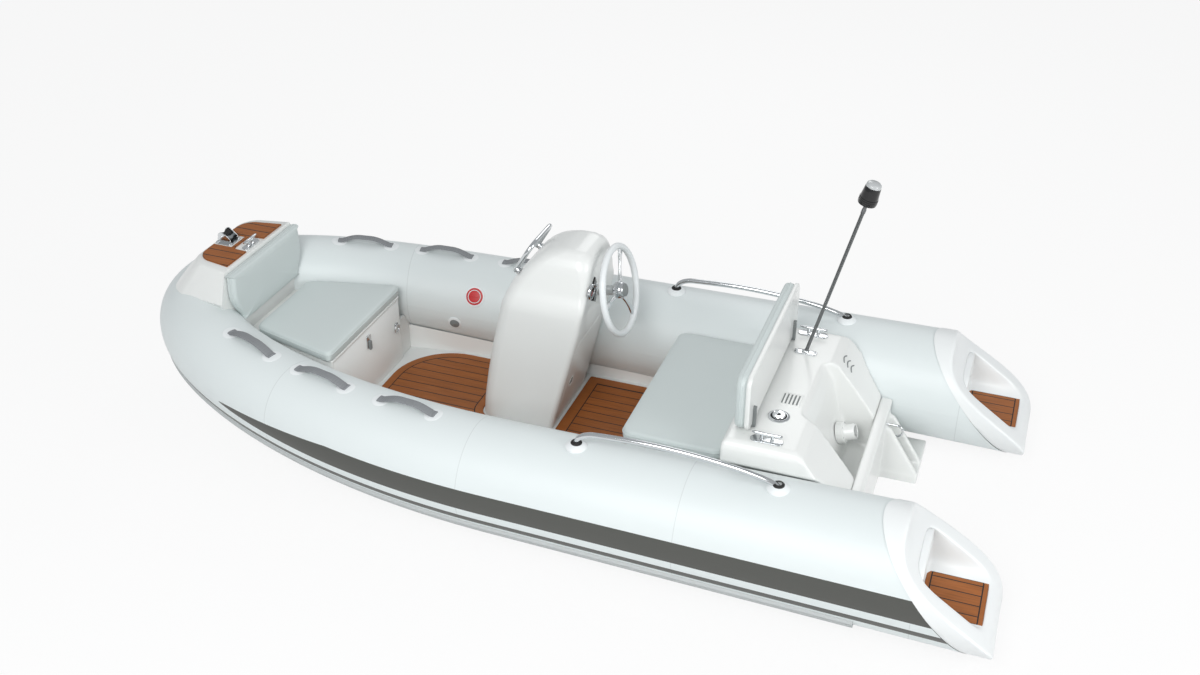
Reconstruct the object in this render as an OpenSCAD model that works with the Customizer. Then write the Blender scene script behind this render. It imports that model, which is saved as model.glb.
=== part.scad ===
// Small console RIB tender: moulded V hull, inflatable collar and stern step cones.
// +X points to the bow, +Y to port, +Z up. The origin is on the waterline plane,
// on the centreline, in the plane of the transom's outer face.

/* [Collar] */
// Distance of each tube's axis from the centreline
tube_y = 598; // [590:1:606]
// Height of the tubes' axis above the waterline
tube_h = 250; // [245:1:255]
// Radius of the tube at the stern
tube_r = 225; // [222:1:228]
// How much the tube's radius shrinks per metre of length
tube_taper = 12; // [9:1:14]
// Extra slimming of the tube's radius at the bow
bow_slim = 30; // [25:1:35]
// Place where the tubes begin to bend inwards
bend_x = 1240; // [1220:10:1260]
// Place where the tubes' axes meet at the bow
bow_x = 2928; // [2900:4:2950]
// Fullness of the bow curve, 2 is an ellipse
bow_power = 2.3; // [2.2:0.05:2.4]
// Place where the sheer starts to rise
sheer_x = 1280; // [1240:10:1320]
// Rise of the tubes' axis at the bow
sheer_rise = 153; // [145:1:160]
// Width of the rubbing strake
strake_w = 62; // [50:1:70]
// Thickness of the rubbing strake
strake_t = 12; // [8:1:16]

/* [Stern cones] */
// Foremost point of the curved cut, at the top of the cone
cut_top_x = -200; // [-215:1:-190]
// Aftmost point of the curved cut, near the bottom of the cone
cut_low_x = -536; // [-545:1:-525]
// Seam with the fabric at the top of the tube
seam_top_x = -110; // [-125:1:-100]
// Seam with the fabric at the bottom of the tube
seam_low_x = -498; // [-505:1:-490]
// Width of the step pocket
pocket_w = 300; // [280:2:320]
// Height of the step pocket
pocket_h = 187; // [170:1:200]
// Height of the pocket's floor
pocket_z = 170; // [160:1:180]
// Place of the pocket's back wall
pocket_x = -270; // [-280:1:-260]

/* [Hull] */
// Height of the keel
keel_z = -150; // [-170:1:-130]
// Height of the chine at the stern
chine_z = -15; // [-20:1:-5]
// Height of the deck in the cockpit
deck_z = 50; // [48:1:54]
// Thickness of the deck liner
deck_t = 12; // [8:1:14]
// Thickness of the transom
transom_t = 45; // [40:1:50]
// Height of the transom's top edge
transom_z = 280; // [270:1:300]
// Length of the hull's extensions aft of the transom
sponson_l = 150; // [130:1:170]

/* [Stern moulding] */
// Height of the stern moulding's top
stern_z = 500; // [496:1:506]
// Forward face of the stern moulding
stern_front_x = 500; // [490:1:510]
// Aft edge of the stern moulding's flat top
stern_aft_x = 235; // [225:1:245]
// Half the width of the stern moulding
stern_hw = 432; // [425:1:436]
// Half the width of the splash well
well_hw = 205; // [190:1:215]

/* [Seats] */
// Height of the aft seat's top
seat_z = 410; // [400:1:420]
// Front edge of the aft seat
seat_front_x = 900; // [880:1:920]
// Half the width of the aft seat's cushion
seat_hw = 384; // [370:1:386]
// Thickness of the seat cushions
cushion_t = 50; // [40:1:55]
// Height of the folding backrest
backrest_h = 222; // [200:1:230]
// Half the width of the folding backrest
backrest_hw = 388; // [370:1:395]
// Height of the bow seat's top
bow_seat_z = 420; // [414:1:424]
// Aft edge of the bow seat
bow_seat_x = 2170; // [2150:1:2185]

/* [Console] */
// Place of the console's middle, to starboard of the centreline
console_y = -185; // [-188:1:-175]
// Width of the console
console_w = 398; // [380:1:400]
// Height of the console's top
console_z = 856; // [845:1:870]
// Thickness of the console's wall
console_wall = 8; // [6:1:10]
// Outer radius of the steering wheel
wheel_r = 190; // [170:1:195]
// Thickness of the steering wheel's rim
wheel_rim = 28; // [24:1:32]

/* [Fittings] */
// Diameter of the side grab rails
rail_d = 22; // [18:1:25]
// Height of the side grab rails above the tube
rail_rise = 66; // [55:1:75]
// Width of the carry handles
handle_w = 34; // [28:1:40]
// Height of the light pole
pole_h = 694; // [600:1:750]
// Diameter of the light pole
pole_d = 14; // [12:1:18]
// Distance between the ring eyes on the transom
eye_spacing = 520; // [500:1:530]

/* [Hidden] */
$fn = 64;

// Clearances
seat_gap = 0.3;
tube_gap = 0.6;
swing_gap = 5;
pin_gap = 0.05;

// Colours
white = "white";
pale_grey = "gainsboro";
grey = "dimgray";
black = "#202020";
teak = "sienna";
chrome = "silver";
red = "firebrick";

// Sampling of the collar
tube_sides = 36;
curve_steps = 22;
straight_x = [-75, 300, 700, 1000];
taper = tube_taper / 1000;
cone_r = tube_r + 2;

// Sections of the hull
hull_front_x = 2890;
flange_in = 118;
bow_top_z = 240;
side_wall = 30;
floor_z = deck_z - deck_t;

// Places worked out from the sizes above
cushion_low = seat_z - cushion_t;
lid_t = 12;
bow_lid_z = bow_seat_z - cushion_t - lid_t;
bow_hinge_x = 2585;
bow_back_x = 2615;
bow_step_x = 2662;
bow_step_z = 670;
bow_step_front = 2862;
backrest_x = 470;
backrest_z = stern_z + 14;
backrest_t = 62;
backrest_hinge_z = stern_z + 12;
door_axis = [1322, deck_z + 26];
door_lean = 14.25;
door_l = 400;
door_w = 320;
door_t = 14;
wheel_x = 1101;
wheel_z = 664;
wheel_lean = 12;
teak_t = 6;
roller_x = 2818;
roller_z = bow_step_z + 30;
pole_x = 345;
pole_y = -240;
pole_lean = 14;

function clamp01(v) = max(0, min(1, v));
function bow_part(x) = clamp01((x - bend_x) / (bow_x - bend_x));
function sheer_part(x) = clamp01((x - sheer_x) / (bow_x - sheer_x));
function axis_y(x) = tube_y * pow(1 - pow(bow_part(x), bow_power), 1 / bow_power);
function axis_z(x) = tube_h + sheer_rise * pow(sheer_part(x), 2);
function radius_at(x) = tube_r - taper * (x + 200) - bow_slim * pow(sheer_part(x), 2);
function heading(x) = atan2(axis_y(x + 5) - axis_y(x - 5), 10);
function seam_x(z) = seam_low_x + (seam_top_x - seam_low_x) * (z - tube_h + tube_r) / (2 * tube_r);
cut_swing = (cut_top_x - cut_low_x) / 2;
function cut_x(z) = cut_low_x + cut_swing
    + cut_swing * sin(90 * max(-1, min(1, 1.25 * (z - tube_h) / cone_r - 0.12)));
function chine_y(x) = max(20, axis_y(x) - flange_in);

// Points of the collar's axis: straight stations, then even steps round the bow
curve_x = [for (i = [0:curve_steps])
    bend_x + (bow_x - bend_x) * pow(sin(90 * i / curve_steps), 2 / bow_power)];
curve_y = [for (i = [0:curve_steps]) tube_y * pow(cos(90 * i / curve_steps), 2 / bow_power)];
path = concat(
    [for (x = straight_x) [x, tube_y, tube_h]],
    [for (i = [0:curve_steps]) [curve_x[i], curve_y[i], axis_z(curve_x[i])]]
);
last = len(path) - 1;

// Horizontal outward normal of the axis at one of its points
function side_dir(i) =
    let (a = path[max(0, i - 1)], b = path[min(last, i + 1)], d = [b[0] - a[0], b[1] - a[1]])
    i == last ? [1, 0, 0] : [-d[1], d[0], 0] / norm(d);

// Closed sweep of a ring of [outward, up] offsets along the collar's axis
module collar_sweep(rings) {
    n = len(rings[0]);
    points = [for (i = [0:last], p = rings[i]) path[i] + p[0] * side_dir(i) + [0, 0, p[1]]];
    skin = [for (i = [0:last - 1], j = [0:n - 1])
        [(i + 1) * n + j, (i + 1) * n + (j + 1) % n, i * n + (j + 1) % n, i * n + j]];
    ends = [[for (j = [0:n - 1]) j], [for (j = [n - 1:-1:0]) last * n + j]];
    polyhedron(points, concat(skin, ends), convexity = 6);
}

module tube_solid(grow = 0) {
    collar_sweep([for (i = [0:last]) let (r = radius_at(path[i][0]) + grow)
        [for (j = [0:tube_sides - 1]) let (a = 360 * j / tube_sides) [r * cos(a), r * sin(a)]]]);
}

module both_tubes(grow = 0) {
    tube_solid(grow);
    mirror([0, 1, 0]) tube_solid(grow);
}

module starboard() {
    mirror([0, 1, 0]) children();
}

// Extrusions: side() takes an XZ outline, front() takes a YZ outline
module side(width, middle = 0) {
    translate([0, middle + width / 2, 0]) rotate([90, 0, 0]) linear_extrude(width) children();
}

module front(x0, x1) {
    translate([x0, 0, 0]) rotate([90, 0, 90]) linear_extrude(x1 - x0) children();
}

// Rounded rectangle from squares and circles, from one corner
module round_rect(size, r) {
    translate([r, 0]) square([size[0] - 2 * r, size[1]]);
    translate([0, r]) square([size[0], size[1] - 2 * r]);
    for (x = [r, size[0] - r], y = [r, size[1] - r]) translate([x, y]) circle(r);
}

// Round tube swept along points that lie in the local XY plane
bar_sides = 12;

module bent_tube(points, r) {
    n = len(points);
    function turn(i) = let (a = points[max(0, i - 1)], b = points[min(n - 1, i + 1)], d = b - a)
        [-d[1], d[0]] / norm(d);
    rings = [for (i = [0:n - 1], j = [0:bar_sides - 1])
        let (a = 360 * j / bar_sides, t = turn(i) * r * cos(a))
        [points[i][0] + t[0], points[i][1] + t[1], r * sin(a)]];
    skin = [for (i = [0:n - 2], j = [0:bar_sides - 1])
        [(i + 1) * bar_sides + j, (i + 1) * bar_sides + (j + 1) % bar_sides,
            i * bar_sides + (j + 1) % bar_sides, i * bar_sides + j]];
    ends = [[for (j = [0:bar_sides - 1]) j], [for (j = [bar_sides - 1:-1:0]) (n - 1) * bar_sides + j]];
    polyhedron(rings, concat(skin, ends), convexity = 6);
}

// Points of a round corner about a centre, between two angles
function arc(c, r, a0, a1, n = 6) = [for (i = [0:n]) let (a = a0 + (a1 - a0) * i / n)
    [c[0] + r * cos(a), c[1] + r * sin(a)]];

// Collar
module tube_port() {
    color(white) tube_solid();
}

module tube_starboard() {
    color(white) starboard() tube_solid();
}

// Fabric between the collar's sweep and the slanted seam, round the step pocket
module cuff() {
    x1 = straight_x[0] - seat_gap;
    difference() {
        intersection() {
            translate([seam_low_x - 100, tube_y, tube_h])
                rotate([0, 90, 0]) cylinder(r = tube_r, h = x1 - seam_low_x + 100);
            translate([seat_gap, 0, 0]) side(3 * tube_r, tube_y) polygon([
                [seam_x(0), 0], [x1, 0], [x1, tube_h + tube_r + 40],
                [seam_x(tube_h + tube_r + 40), tube_h + tube_r + 40]]);
        }
        pocket_box(pocket_wall + tube_gap);
    }
}

pocket_wall = 6;
pocket_r = 55;

module pocket_box(grow) {
    front(seam_low_x - 100, pocket_x + grow)
        translate([tube_y - pocket_w / 2 - grow, pocket_z - grow])
            round_rect([pocket_w + 2 * grow, pocket_h + 2 * grow], pocket_r + grow);
}

module tube_cuff_port() {
    color(white) cuff();
}

module tube_cuff_starboard() {
    color(white) starboard() cuff();
}

// Rubbing strake along the lower outboard quarter of the collar
strake_angle = -38;

module strake() {
    collar_sweep([for (i = [0:last])
        let (r = radius_at(path[i][0]) + seat_gap, half = asin(strake_w / 2 / r))
        [for (k = [[-1, 0], [-0.75, 0.8], [-0.3, 1], [0.3, 1], [0.75, 0.8], [1, 0], [0.5, 0], [0, 0], [-0.5, 0]])
            let (a = strake_angle + half * k[0], q = r + strake_t * k[1]) [q * cos(a), q * sin(a)]]]);
}

module strake_port() {
    color(pale_grey) strake();
}

module strake_starboard() {
    color(pale_grey) starboard() strake();
}

// Stern cone: a band of the tube's outline between the seam and the curved cut,
// with a deep step pocket
cut_steps = 20;

module cone() {
    low = tube_h - cone_r;
    cut = [for (i = [cut_steps:-1:0]) let (z = low + 2 * cone_r * i / cut_steps) [cut_x(z), z]];
    difference() {
        union() {
            intersection() {
                translate([cut_low_x - 20, tube_y, tube_h])
                    rotate([0, 90, 0]) cylinder(r = cone_r, h = seam_top_x - cut_low_x + 60);
                side(3 * tube_r, tube_y)
                    polygon(concat([[seam_x(low), low], [seam_x(low + 2 * cone_r), low + 2 * cone_r]], cut));
            }
            intersection() {
                pocket_box(pocket_wall);
                side(3 * tube_r, tube_y)
                    polygon([[cut_low_x + 110, pocket_z - 20], [pocket_x + 20, pocket_z - 20],
                        [pocket_x + 20, pocket_z + pocket_h + 20],
                        [seam_x(pocket_z + pocket_h + 20) - 10, pocket_z + pocket_h + 20]]);
            }
        }
        pocket_box(0);
    }
}

module cone_port() {
    color(white) cone();
}

module cone_starboard() {
    color(white) starboard() cone();
}

module cone_teak_pad() {
    l = pocket_x - cut_x(pocket_z + teak_t) - 12;
    side_in = 24;
    intersection() {
        translate([pocket_x - l - 4, tube_y - pocket_w / 2 + side_in, pocket_z + seat_gap])
            linear_extrude(teak_t) round_rect([l, pocket_w - 2 * side_in], 18);
        pocket_box(-seat_gap);
    }
}

module cone_teak_port() {
    color(teak) cone_teak_pad();
}

module cone_teak_starboard() {
    color(teak) starboard() cone_teak_pad();
}

// Carry handles: an arched strap on the crown of the tube
handle_x = [1670, 2055, 2420];
handle_l = 220;
handle_h = 26;
strap_t = 5;

module strap_arch() {
    r = (pow(handle_l / 2, 2) + pow(handle_h, 2)) / (2 * handle_h);
    side(handle_w) intersection() {
        difference() {
            translate([0, handle_h - r]) circle(r, $fn = 180);
            translate([0, handle_h - r]) circle(r - strap_t, $fn = 180);
        }
        translate([-handle_l, -strap_t / 2]) square([2 * handle_l, handle_h * 2]);
    }
    for (s = [-1, 1]) translate([s * (handle_l / 2 + 12) - 16, -handle_w / 2 - 6, -strap_t / 2])
        cube([32, handle_w + 12, strap_t]);
}

bend_gap = 1.4;

module handle_row() {
    for (x = handle_x) {
        slope = atan2(axis_z(x + 5) + radius_at(x + 5) - axis_z(x - 5) - radius_at(x - 5), 10);
        translate([x, axis_y(x), axis_z(x) + radius_at(x) + strap_t / 2 + bend_gap])
            rotate([0, 0, heading(x)]) rotate([0, -slope, 0]) strap_arch();
    }
}

module handles_port() {
    color(grey) handle_row();
}

module handles_starboard() {
    color(grey) starboard() handle_row();
}

// Side grab rails on round pads
rail_front_x = 987;
rail_rear_x = 250;
pad_r = 40;
pad_t = 16;

foot_z = pad_t + 1;

module grab_rail() {
    a = [rail_front_x, tube_h + radius_at(rail_front_x) + foot_z];
    b = [rail_rear_x, tube_h + radius_at(rail_rear_x) + foot_z];
    top = rail_rise - foot_z;
    bend = 70;
    sweep = 420;
    drop = 12;
    difference() {
        translate([0, tube_y, 0]) rotate([90, 0, 0]) bent_tube(concat(
            [a, a + [-6, top * 0.35]],
            arc([a[0] - 24 - bend, a[1] + top - bend], bend, 32, 90, 5),
            [b + [sweep, top]],
            arc([b[0] + sweep - 60, b[1] + top - 560], 560, 90, 113, 6),
            [b + [26, drop], b]
        ), rail_d / 2);
        for (foot = [a, b]) translate([foot[0] - 60, tube_y - 60, foot[1] - foot_z + pad_t + seat_gap - 80])
            cube([120, 120, 80]);
    }
}

module rail_port() {
    color(chrome) grab_rail();
}

module rail_starboard() {
    color(chrome) starboard() grab_rail();
}

module rail_pad(x) {
    difference() {
        translate([x, tube_y, tube_h + radius_at(x) - 12]) {
            cylinder(r = pad_r, h = pad_t + 6);
            cylinder(r = pad_r * 0.6, h = pad_t + 12);
        }
        translate([x - 2 * pad_r, tube_y, tube_h])
            rotate([0, 90, 0]) cylinder(r = radius_at(x) + 0.8, h = 4 * pad_r, $fn = 180);
    }
}

module rail_pads() {
    color(white) for (x = [rail_front_x, rail_rear_x]) {
        rail_pad(x);
        starboard() rail_pad(x);
    }
}

// Valves on the inner side of the starboard tube: red inflation cap and grey relief valve
module tube_disc(x, angle, r, t) {
    translate([x, -axis_y(x), axis_z(x)])
        rotate([angle - 90, 0, -heading(x)])
            translate([0, 0, radius_at(x) + bend_gap]) {
                cylinder(r = r, h = t);
                cylinder(r = r * 0.7, h = t * 2.2);
            }
}

module tube_valves() {
    color(red) tube_disc(1873, 30, 44, 5);
    color(grey) tube_disc(1972, -14, 30, 4);
}

// Hull: a V bottom swept through sections, open in a cockpit and a bow locker,
// its sides ending under the collar
function keel_at(x) = keel_z + (bow_top_z - 6 - keel_z) * pow(clamp01((x - 1500) / (hull_front_x - 1500)), 2.6);
function chine_at(x) = chine_z + 215 * pow(clamp01((x - 1300) / (hull_front_x - 1300)), 2);
function flat(p) = [p[0], p[1]];
function segment_gap(p, a, b) = let (ab = b - a, t = clamp01((p - a) * ab / (ab * ab))) norm(p - a - ab * t);
function axis_gap(p) = min([for (i = [0:last - 1]) segment_gap(p, flat(path[i]), flat(path[i + 1]))]);

// Height of the collar's underside over a point of the plan
function under_z(x, y) = let (r = radius_at(x) + tube_gap + 5 * bow_part(x), d = axis_gap([x, y]))
    d >= r * 0.98 ? bow_top_z : min(bow_top_z, axis_z(x) - sqrt(r * r - d * d));

spray_w = 26;
spray_drop = 12;
side_points = 7;
locker_back = bow_seat_x + 14.6;
bow_start = bow_hinge_x + 1;

function cockpit_y(x) = chine_y(x) - side_wall;
function inner_y(x) = x <= locker_back ? cockpit_y(x)
    : x <= bow_start ? locker_y(x) - locker_wall : min(24, chine_y(x) * 0.5);
function inner_z(x) = x <= locker_back ? floor_z : x <= bow_start ? 62 + (x - bow_seat_x) * 0.22 : bow_top_z;

function half_section(x) = let (y = chine_y(x), k = keel_at(x), c = max(k + 3, chine_at(x)))
    [[0, k], [y * 0.06, k], [y * 0.97, c - 6], [y, c], [y + 6, max(c + 2, under_z(x, y + 6))]];

// One closed section: bottom with a spray rail, side, rim under the collar, inner wall and floor
function hull_ring(x) = let (
        h = half_section(x),
        y = h[3][0],
        slope = (h[2][1] - h[1][1]) / (h[2][0] - h[1][0]),
        rail = y * 0.5,
        width = min(spray_w, y * 0.3),
        drop = spray_drop * clamp01((2000 - x) / 600),
        rim = h[4][0],
        w = inner_y(x),
        half = concat([h[1],
            [rail - width, h[1][1] + slope * (rail - width - h[1][0])],
            [rail, h[1][1] + slope * (rail - h[1][0]) - drop],
            [rail + 3, h[1][1] + slope * (rail + 3 - h[1][0])],
            h[2], h[3], h[4]],
            [for (i = [1:side_points]) let (q = rim + (w + 1 - rim) * i / side_points) [q, under_z(x, q)]],
            [[w, inner_z(x)]]),
        n = len(half))
    concat(half, [for (i = [n - 1:-1:0]) [-half[i][0], half[i][1]]]);

module hull_bottom() {
    aft_x = transom_t + seat_gap;
    xs = concat([aft_x, 400, 800], [for (i = [0:15]) bend_x + (locker_back - bend_x) * i / 15],
        [for (i = [0:7]) locker_back + 0.1 + (bow_start - locker_back - 0.1) * i / 7],
        [for (i = [0:6]) bow_start + 0.1 + (hull_front_x - bow_start - 0.1) * i / 6]);
    rings = [for (x = xs) [for (p = hull_ring(x)) [x, p[0], p[1]]]];
    n = len(rings[0]);
    m = len(xs) - 1;
    skin = [for (i = [0:m - 1], j = [0:n - 1])
        [(i + 1) * n + j, (i + 1) * n + (j + 1) % n, i * n + (j + 1) % n, i * n + j]];
    ends = [[for (j = [0:n - 1]) j], [for (j = [n - 1:-1:0]) m * n + j]];
    color(white) polyhedron([for (r = rings, p = r) p], concat(skin, ends), convexity = 8);
}

cockpit_x = concat([transom_t + seat_gap, 700], [for (x = [1240:155:2040]) x], [locker_back]);

module cockpit_outline(inset = 0) {
    polygon(concat([for (x = cockpit_x) [x, cockpit_y(x) - inset]],
        [for (i = [len(cockpit_x) - 1:-1:0]) [cockpit_x[i], -cockpit_y(cockpit_x[i]) + inset]]));
}

// Transom with the hull's extensions and their gusset webs
module stern_section(low, high) {
    s = half_section(transom_t);
    difference() {
        intersection() {
            polygon(concat(s, [[s[4][0], high], [-s[4][0], high]],
                [for (i = [4:-1:0]) [-s[i][0], s[i][1]]]));
            translate([-600, low]) square([1200, high - low]);
        }
        for (y = [-tube_y, tube_y]) translate([y, tube_h]) circle(tube_r + 1, $fn = 180);
    }
}

module sponson() {
    inner = 215;
    outer = chine_y(0) + 2;
    web_t = 22;
    top = 34;
    difference() {
        front(-sponson_l, 1) stern_section(keel_z - 10, top);
        translate([-sponson_l - 1, -inner, keel_z - 20]) cube([sponson_l, 2 * inner, 300]);
        translate([-sponson_l - 10, -700, keel_z - 20]) rotate([0, 35, 0]) cube([50, 1400, 120]);
    }
    intersection() {
        union() for (y = [inner + 14, inner + 104]) for (m = [0, 1]) mirror([0, m, 0])
            side(web_t, y) polygon([[0, top - 1], [-sponson_l + 6, top - 1], [-sponson_l + 6, top + 12],
                [-24, transom_z - 50], [0, transom_z - 40]]);
        front(-sponson_l, 1) stern_section(0, transom_z);
    }
}

module transom() {
    color(white) {
        difference() {
            front(0, transom_t) stern_section(keel_z - 10, transom_z);
            for (y = [-eye_spacing / 2, eye_spacing / 2], dz = [-eye_w / 2, eye_w / 2])
                translate([-1, y, eye_z + dz]) rotate([0, 90, 0]) cylinder(d = eye_d + 2 * pin_gap, h = eye_hole + 1);
        }
        sponson();
    }
}

eye_w = 50;
eye_d = 10;
eye_z = 205;
eye_hole = 32;

// U shaped towing eyes set in the transom
module transom_eyes() {
    reach = 42;
    color(chrome) for (y = [-eye_spacing / 2, eye_spacing / 2]) {
        for (dz = [-eye_w / 2, eye_w / 2])
            translate([-reach, y, eye_z + dz]) rotate([0, 90, 0]) cylinder(d = eye_d, h = reach + eye_hole - 1);
        translate([-reach, y, eye_z]) rotate([90, 0, 0]) rotate([0, 0, 90])
            rotate_extrude(angle = 180, start = 0) translate([eye_w / 2, 0]) circle(d = eye_d);
    }
}

module deck_liner() {
    color(white) translate([0, 0, floor_z + seat_gap])
        linear_extrude(deck_t - seat_gap) cockpit_outline(1);
}

// Teak pads of the deck
module teak_pad(x0, x1, hw, r) {
    translate([x0, -hw, deck_z + seat_gap]) linear_extrude(teak_t) round_rect([x1 - x0, 2 * hw], r);
}

module teak_forward() {
    front_x = 2150;
    x0 = 1590;
    hw = 400;
    gap = 8;
    color(teak) translate([0, 0, deck_z + seat_gap]) linear_extrude(teak_t) difference() {
        union() {
            translate([x0, -hw]) square([300, 2 * hw]);
            translate([x0 + 200, 180 - hw]) square([front_x - x0 - 200, 2 * (hw - 180)]);
            for (s = [-1, 1]) translate([x0 + 300, s * (hw - 260)]) circle(260, $fn = 96);
        }
        translate([1100, console_y - console_w / 2 - gap])
            round_rect([console_front_low - 1100 + gap, console_w + 2 * gap], 62 + gap);
    }
}

module teak_aft() {
    color(teak) teak_pad(seat_front_x + 12, 1316, 424, 8);
}

// Bow locker: a moulded box with a front panel reaching both tubes
function locker_y(x) = 292 - (x - bow_seat_x) * 0.245;
locker_wall = 10;
locker_top = bow_lid_z - seat_gap;
locker_front = bow_hinge_x - 10;

module locker_plan(inset, x0, x1) {
    polygon([[x0, locker_y(x0) - inset], [x1, locker_y(x1) - inset],
        [x1, -locker_y(x1) + inset], [x0, -locker_y(x0) + inset]]);
}

// Wall or ledge of width t between two points of the plan
module wall(a, b, t, z0, z1) {
    w = locker_wall;
    hull() for (p = [a, b]) translate([p[0] - w / 2, p[1] - t / 2, z0]) cube([w, t, z1 - z0]);
}

module bow_locker() {
    w = locker_wall;
    x0 = bow_seat_x + 4 + w / 2;
    x1 = bow_hinge_x + 22;
    low = deck_z + seat_gap;
    side_low = bow_top_z + 2;
    wide = cockpit_y(bow_seat_x) - w;
    y0 = locker_y(x0) - w / 2;
    y1 = locker_y(x1) - w / 2;
    color(white) difference() {
        union() {
            wall([x0, -wide], [x0, wide], w, low, locker_top);
            for (s = [-1, 1]) {
                wall([x0, s * y0], [x1, s * y1], w, side_low, locker_top);
                wall([x0, s * (y0 - 12)], [x1, s * (y1 - 12)], 24, locker_top - 10, locker_top);
                wall([x0, s * (y0 + 20)], [x1, s * (y1 + 20)], 50, side_low, side_low + 10);
                wall([x0, s * (y0 + 40)], [x1, s * (y1 + 40)], 90, locker_top - 22, locker_top - 12);
            }
            wall([x1, -y1], [x1, y1], w, side_low, locker_top);
        }
        both_tubes(tube_gap);
    }
}

module bow_lid() {
    color(white) {
        translate([0, 0, bow_lid_z]) linear_extrude(lid_t) locker_plan(0, bow_seat_x + 2, bow_hinge_x - 6);
        translate([bow_hinge_x, 140, bow_lid_z + 5]) rotate([90, 0, 0]) cylinder(d = 10, h = 280);
        translate([bow_hinge_x - 8, -140, bow_lid_z]) cube([8, 280, 5]);
    }
}

module bow_cushion() {
    color(pale_grey) translate([0, 0, bow_lid_z + lid_t + seat_gap]) linear_extrude(cushion_t - seat_gap)
        locker_plan(5, bow_seat_x, bow_hinge_x - 6);
}

module bow_backrest() {
    low = bow_seat_z + 12;
    high = bow_step_z - 14;
    color(pale_grey) front(bow_back_x, bow_step_x - seat_gap)
        polygon([[-182, low], [182, low], [213, low + 40], [236, low + 70], [248, low + 100], [250, high - 12],
            [238, high], [-238, high], [-250, high - 12], [-248, low + 100], [-236, low + 70], [-213, low + 40]]);
}

// Bow step: a moulded platform on the collar, with a teak pad
module step_plan(hw, x0, x1, r) {
    hull() {
        for (s = [-1, 1]) translate([x0, s * (hw - 2)]) translate([0, -2]) square(4);
        for (s = [-1, 1]) translate([x1 - r, s * (hw - r - 22)]) circle(r, $fn = 32);
    }
}

module bow_step() {
    color(white) difference() {
        union() {
            hull() {
                translate([0, 0, bow_step_z - 12]) linear_extrude(2) step_plan(252, bow_step_x, bow_step_front, 96);
                translate([0, 0, bow_step_z - 130]) linear_extrude(2)
                    step_plan(300, bow_step_x, bow_step_front + 105, 130);
            }
            hull() {
                translate([0, 0, bow_step_z - 10.5]) linear_extrude(0.5)
                    step_plan(252, bow_step_x, bow_step_front, 96);
                translate([0, 0, bow_step_z - 0.5]) linear_extrude(0.5)
                    step_plan(242, bow_step_x, bow_step_front - 12, 90);
            }
            hull() {
                translate([0, 0, bow_step_z - 130]) linear_extrude(2) step_plan(280, bow_step_x, bow_step_front, 60);
                translate([0, 0, tube_h + sheer_rise]) linear_extrude(2)
                    step_plan(240, bow_step_x, bow_step_front - 40, 60);
            }
        }
        both_tubes(tube_gap);
    }
}

module bow_step_teak() {
    color(teak) translate([0, 0, bow_step_z + seat_gap]) linear_extrude(teak_t) difference() {
        step_plan(206, bow_step_x + 14, bow_step_front - 18, 80);
        translate([roller_x - 62, -52]) round_rect([140, 104], 36);
        translate([bow_step_x - 20, -62]) round_rect([98, 124], 30);
    }
}

roller_r = 17;
roller_w = 44;
axle_r = 5;
cheek_t = 5;

module bow_fairlead() {
    color(chrome) {
        translate([roller_x - 50, -42, bow_step_z + seat_gap]) cube([84, 84, 4]);
        for (s = [-1, 1]) difference() {
            side(cheek_t, s * (roller_w / 2 + 2 + cheek_t / 2)) difference() {
                union() {
                    translate([roller_x, roller_z]) circle(20);
                    translate([roller_x - 42, bow_step_z + 3]) square([62, roller_z - bow_step_z - 3]);
                }
                translate([roller_x - 62, roller_z + 4]) circle(26);
            }
            translate([roller_x, 50, roller_z]) rotate([90, 0, 0]) cylinder(r = axle_r + pin_gap, h = 100);
        }
    }
}

module bow_roller() {
    color(grey) translate([roller_x, 0, roller_z]) rotate([90, 0, 0]) {
        difference() {
            cylinder(r = roller_r, h = roller_w, center = true);
            rotate_extrude() translate([roller_r + 10, 0]) circle(16);
        }
        cylinder(r = axle_r, h = roller_w + 2 * cheek_t + 8, center = true);
    }
}

// Mooring cleat: oval plate, two posts and a horn bar
module cleat(l) {
    w = l * 0.36;
    post = l * 0.16;
    translate([-l / 2, -w / 2, 0]) linear_extrude(4) round_rect([l, w], w / 2 - 0.1);
    for (s = [-1, 1]) translate([s * post, 0, 2]) cylinder(d = 11, h = 24);
    translate([0, 0, 28]) rotate([0, 90, 0]) rotate_extrude() polygon([[0, -l * 0.46], [3, -l * 0.455],
        [5, -l * 0.42], [6.5, -l * 0.2], [6.5, l * 0.2], [5, l * 0.42], [3, l * 0.455], [0, l * 0.46]]);
}

module bow_cleat() {
    color(chrome) translate([bow_step_x + 36, 0, bow_step_z + seat_gap]) rotate([0, 0, 90]) cleat(100);
}

module stern_cleats() {
    color(chrome) for (s = [-1, 1]) translate([346, s * 385, stern_z + seat_gap]) cleat(120);
}

// D rings, latch and drain cover on the front panel of the bow locker
module d_ring(y, z) {
    translate([bow_seat_x + 4 - seat_gap, y, z]) {
        translate([-5, -13, 20]) cube([5, 26, 20]);
        translate([-6, 0, 14]) rotate([90, 0, 90]) difference() {
            cylinder(r = 22, h = 5, center = true);
            cylinder(r = 16, h = 7, center = true);
        }
    }
}

module locker_fittings() {
    color(chrome) {
        d_ring(-240, 215);
        d_ring(240, 215);
        translate([bow_seat_x - 4, -16, 270]) cube([8 - seat_gap, 32, 62]);
        translate([bow_seat_x - 13, -8, 262]) cube([9, 16, 44]);
    }
}

// Console
console_back_low = 1330;
console_front_low = 1655;
console_outline = [[console_back_low, deck_z], [console_front_low, deck_z], [1648, 130], [1628, 260],
    [1600, 400], [1574, 520], [1548, 620], [1512, 700], [1460, 770], [1398, 828], [1330, console_z - 6],
    [1262, console_z], [1206, console_z - 4], [1188, console_z - 22], [1180, 800], [1178, 730],
    [1188, 640], [1202, 570], [1214, 507], [1250, 365], [1290, 208]];

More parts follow.
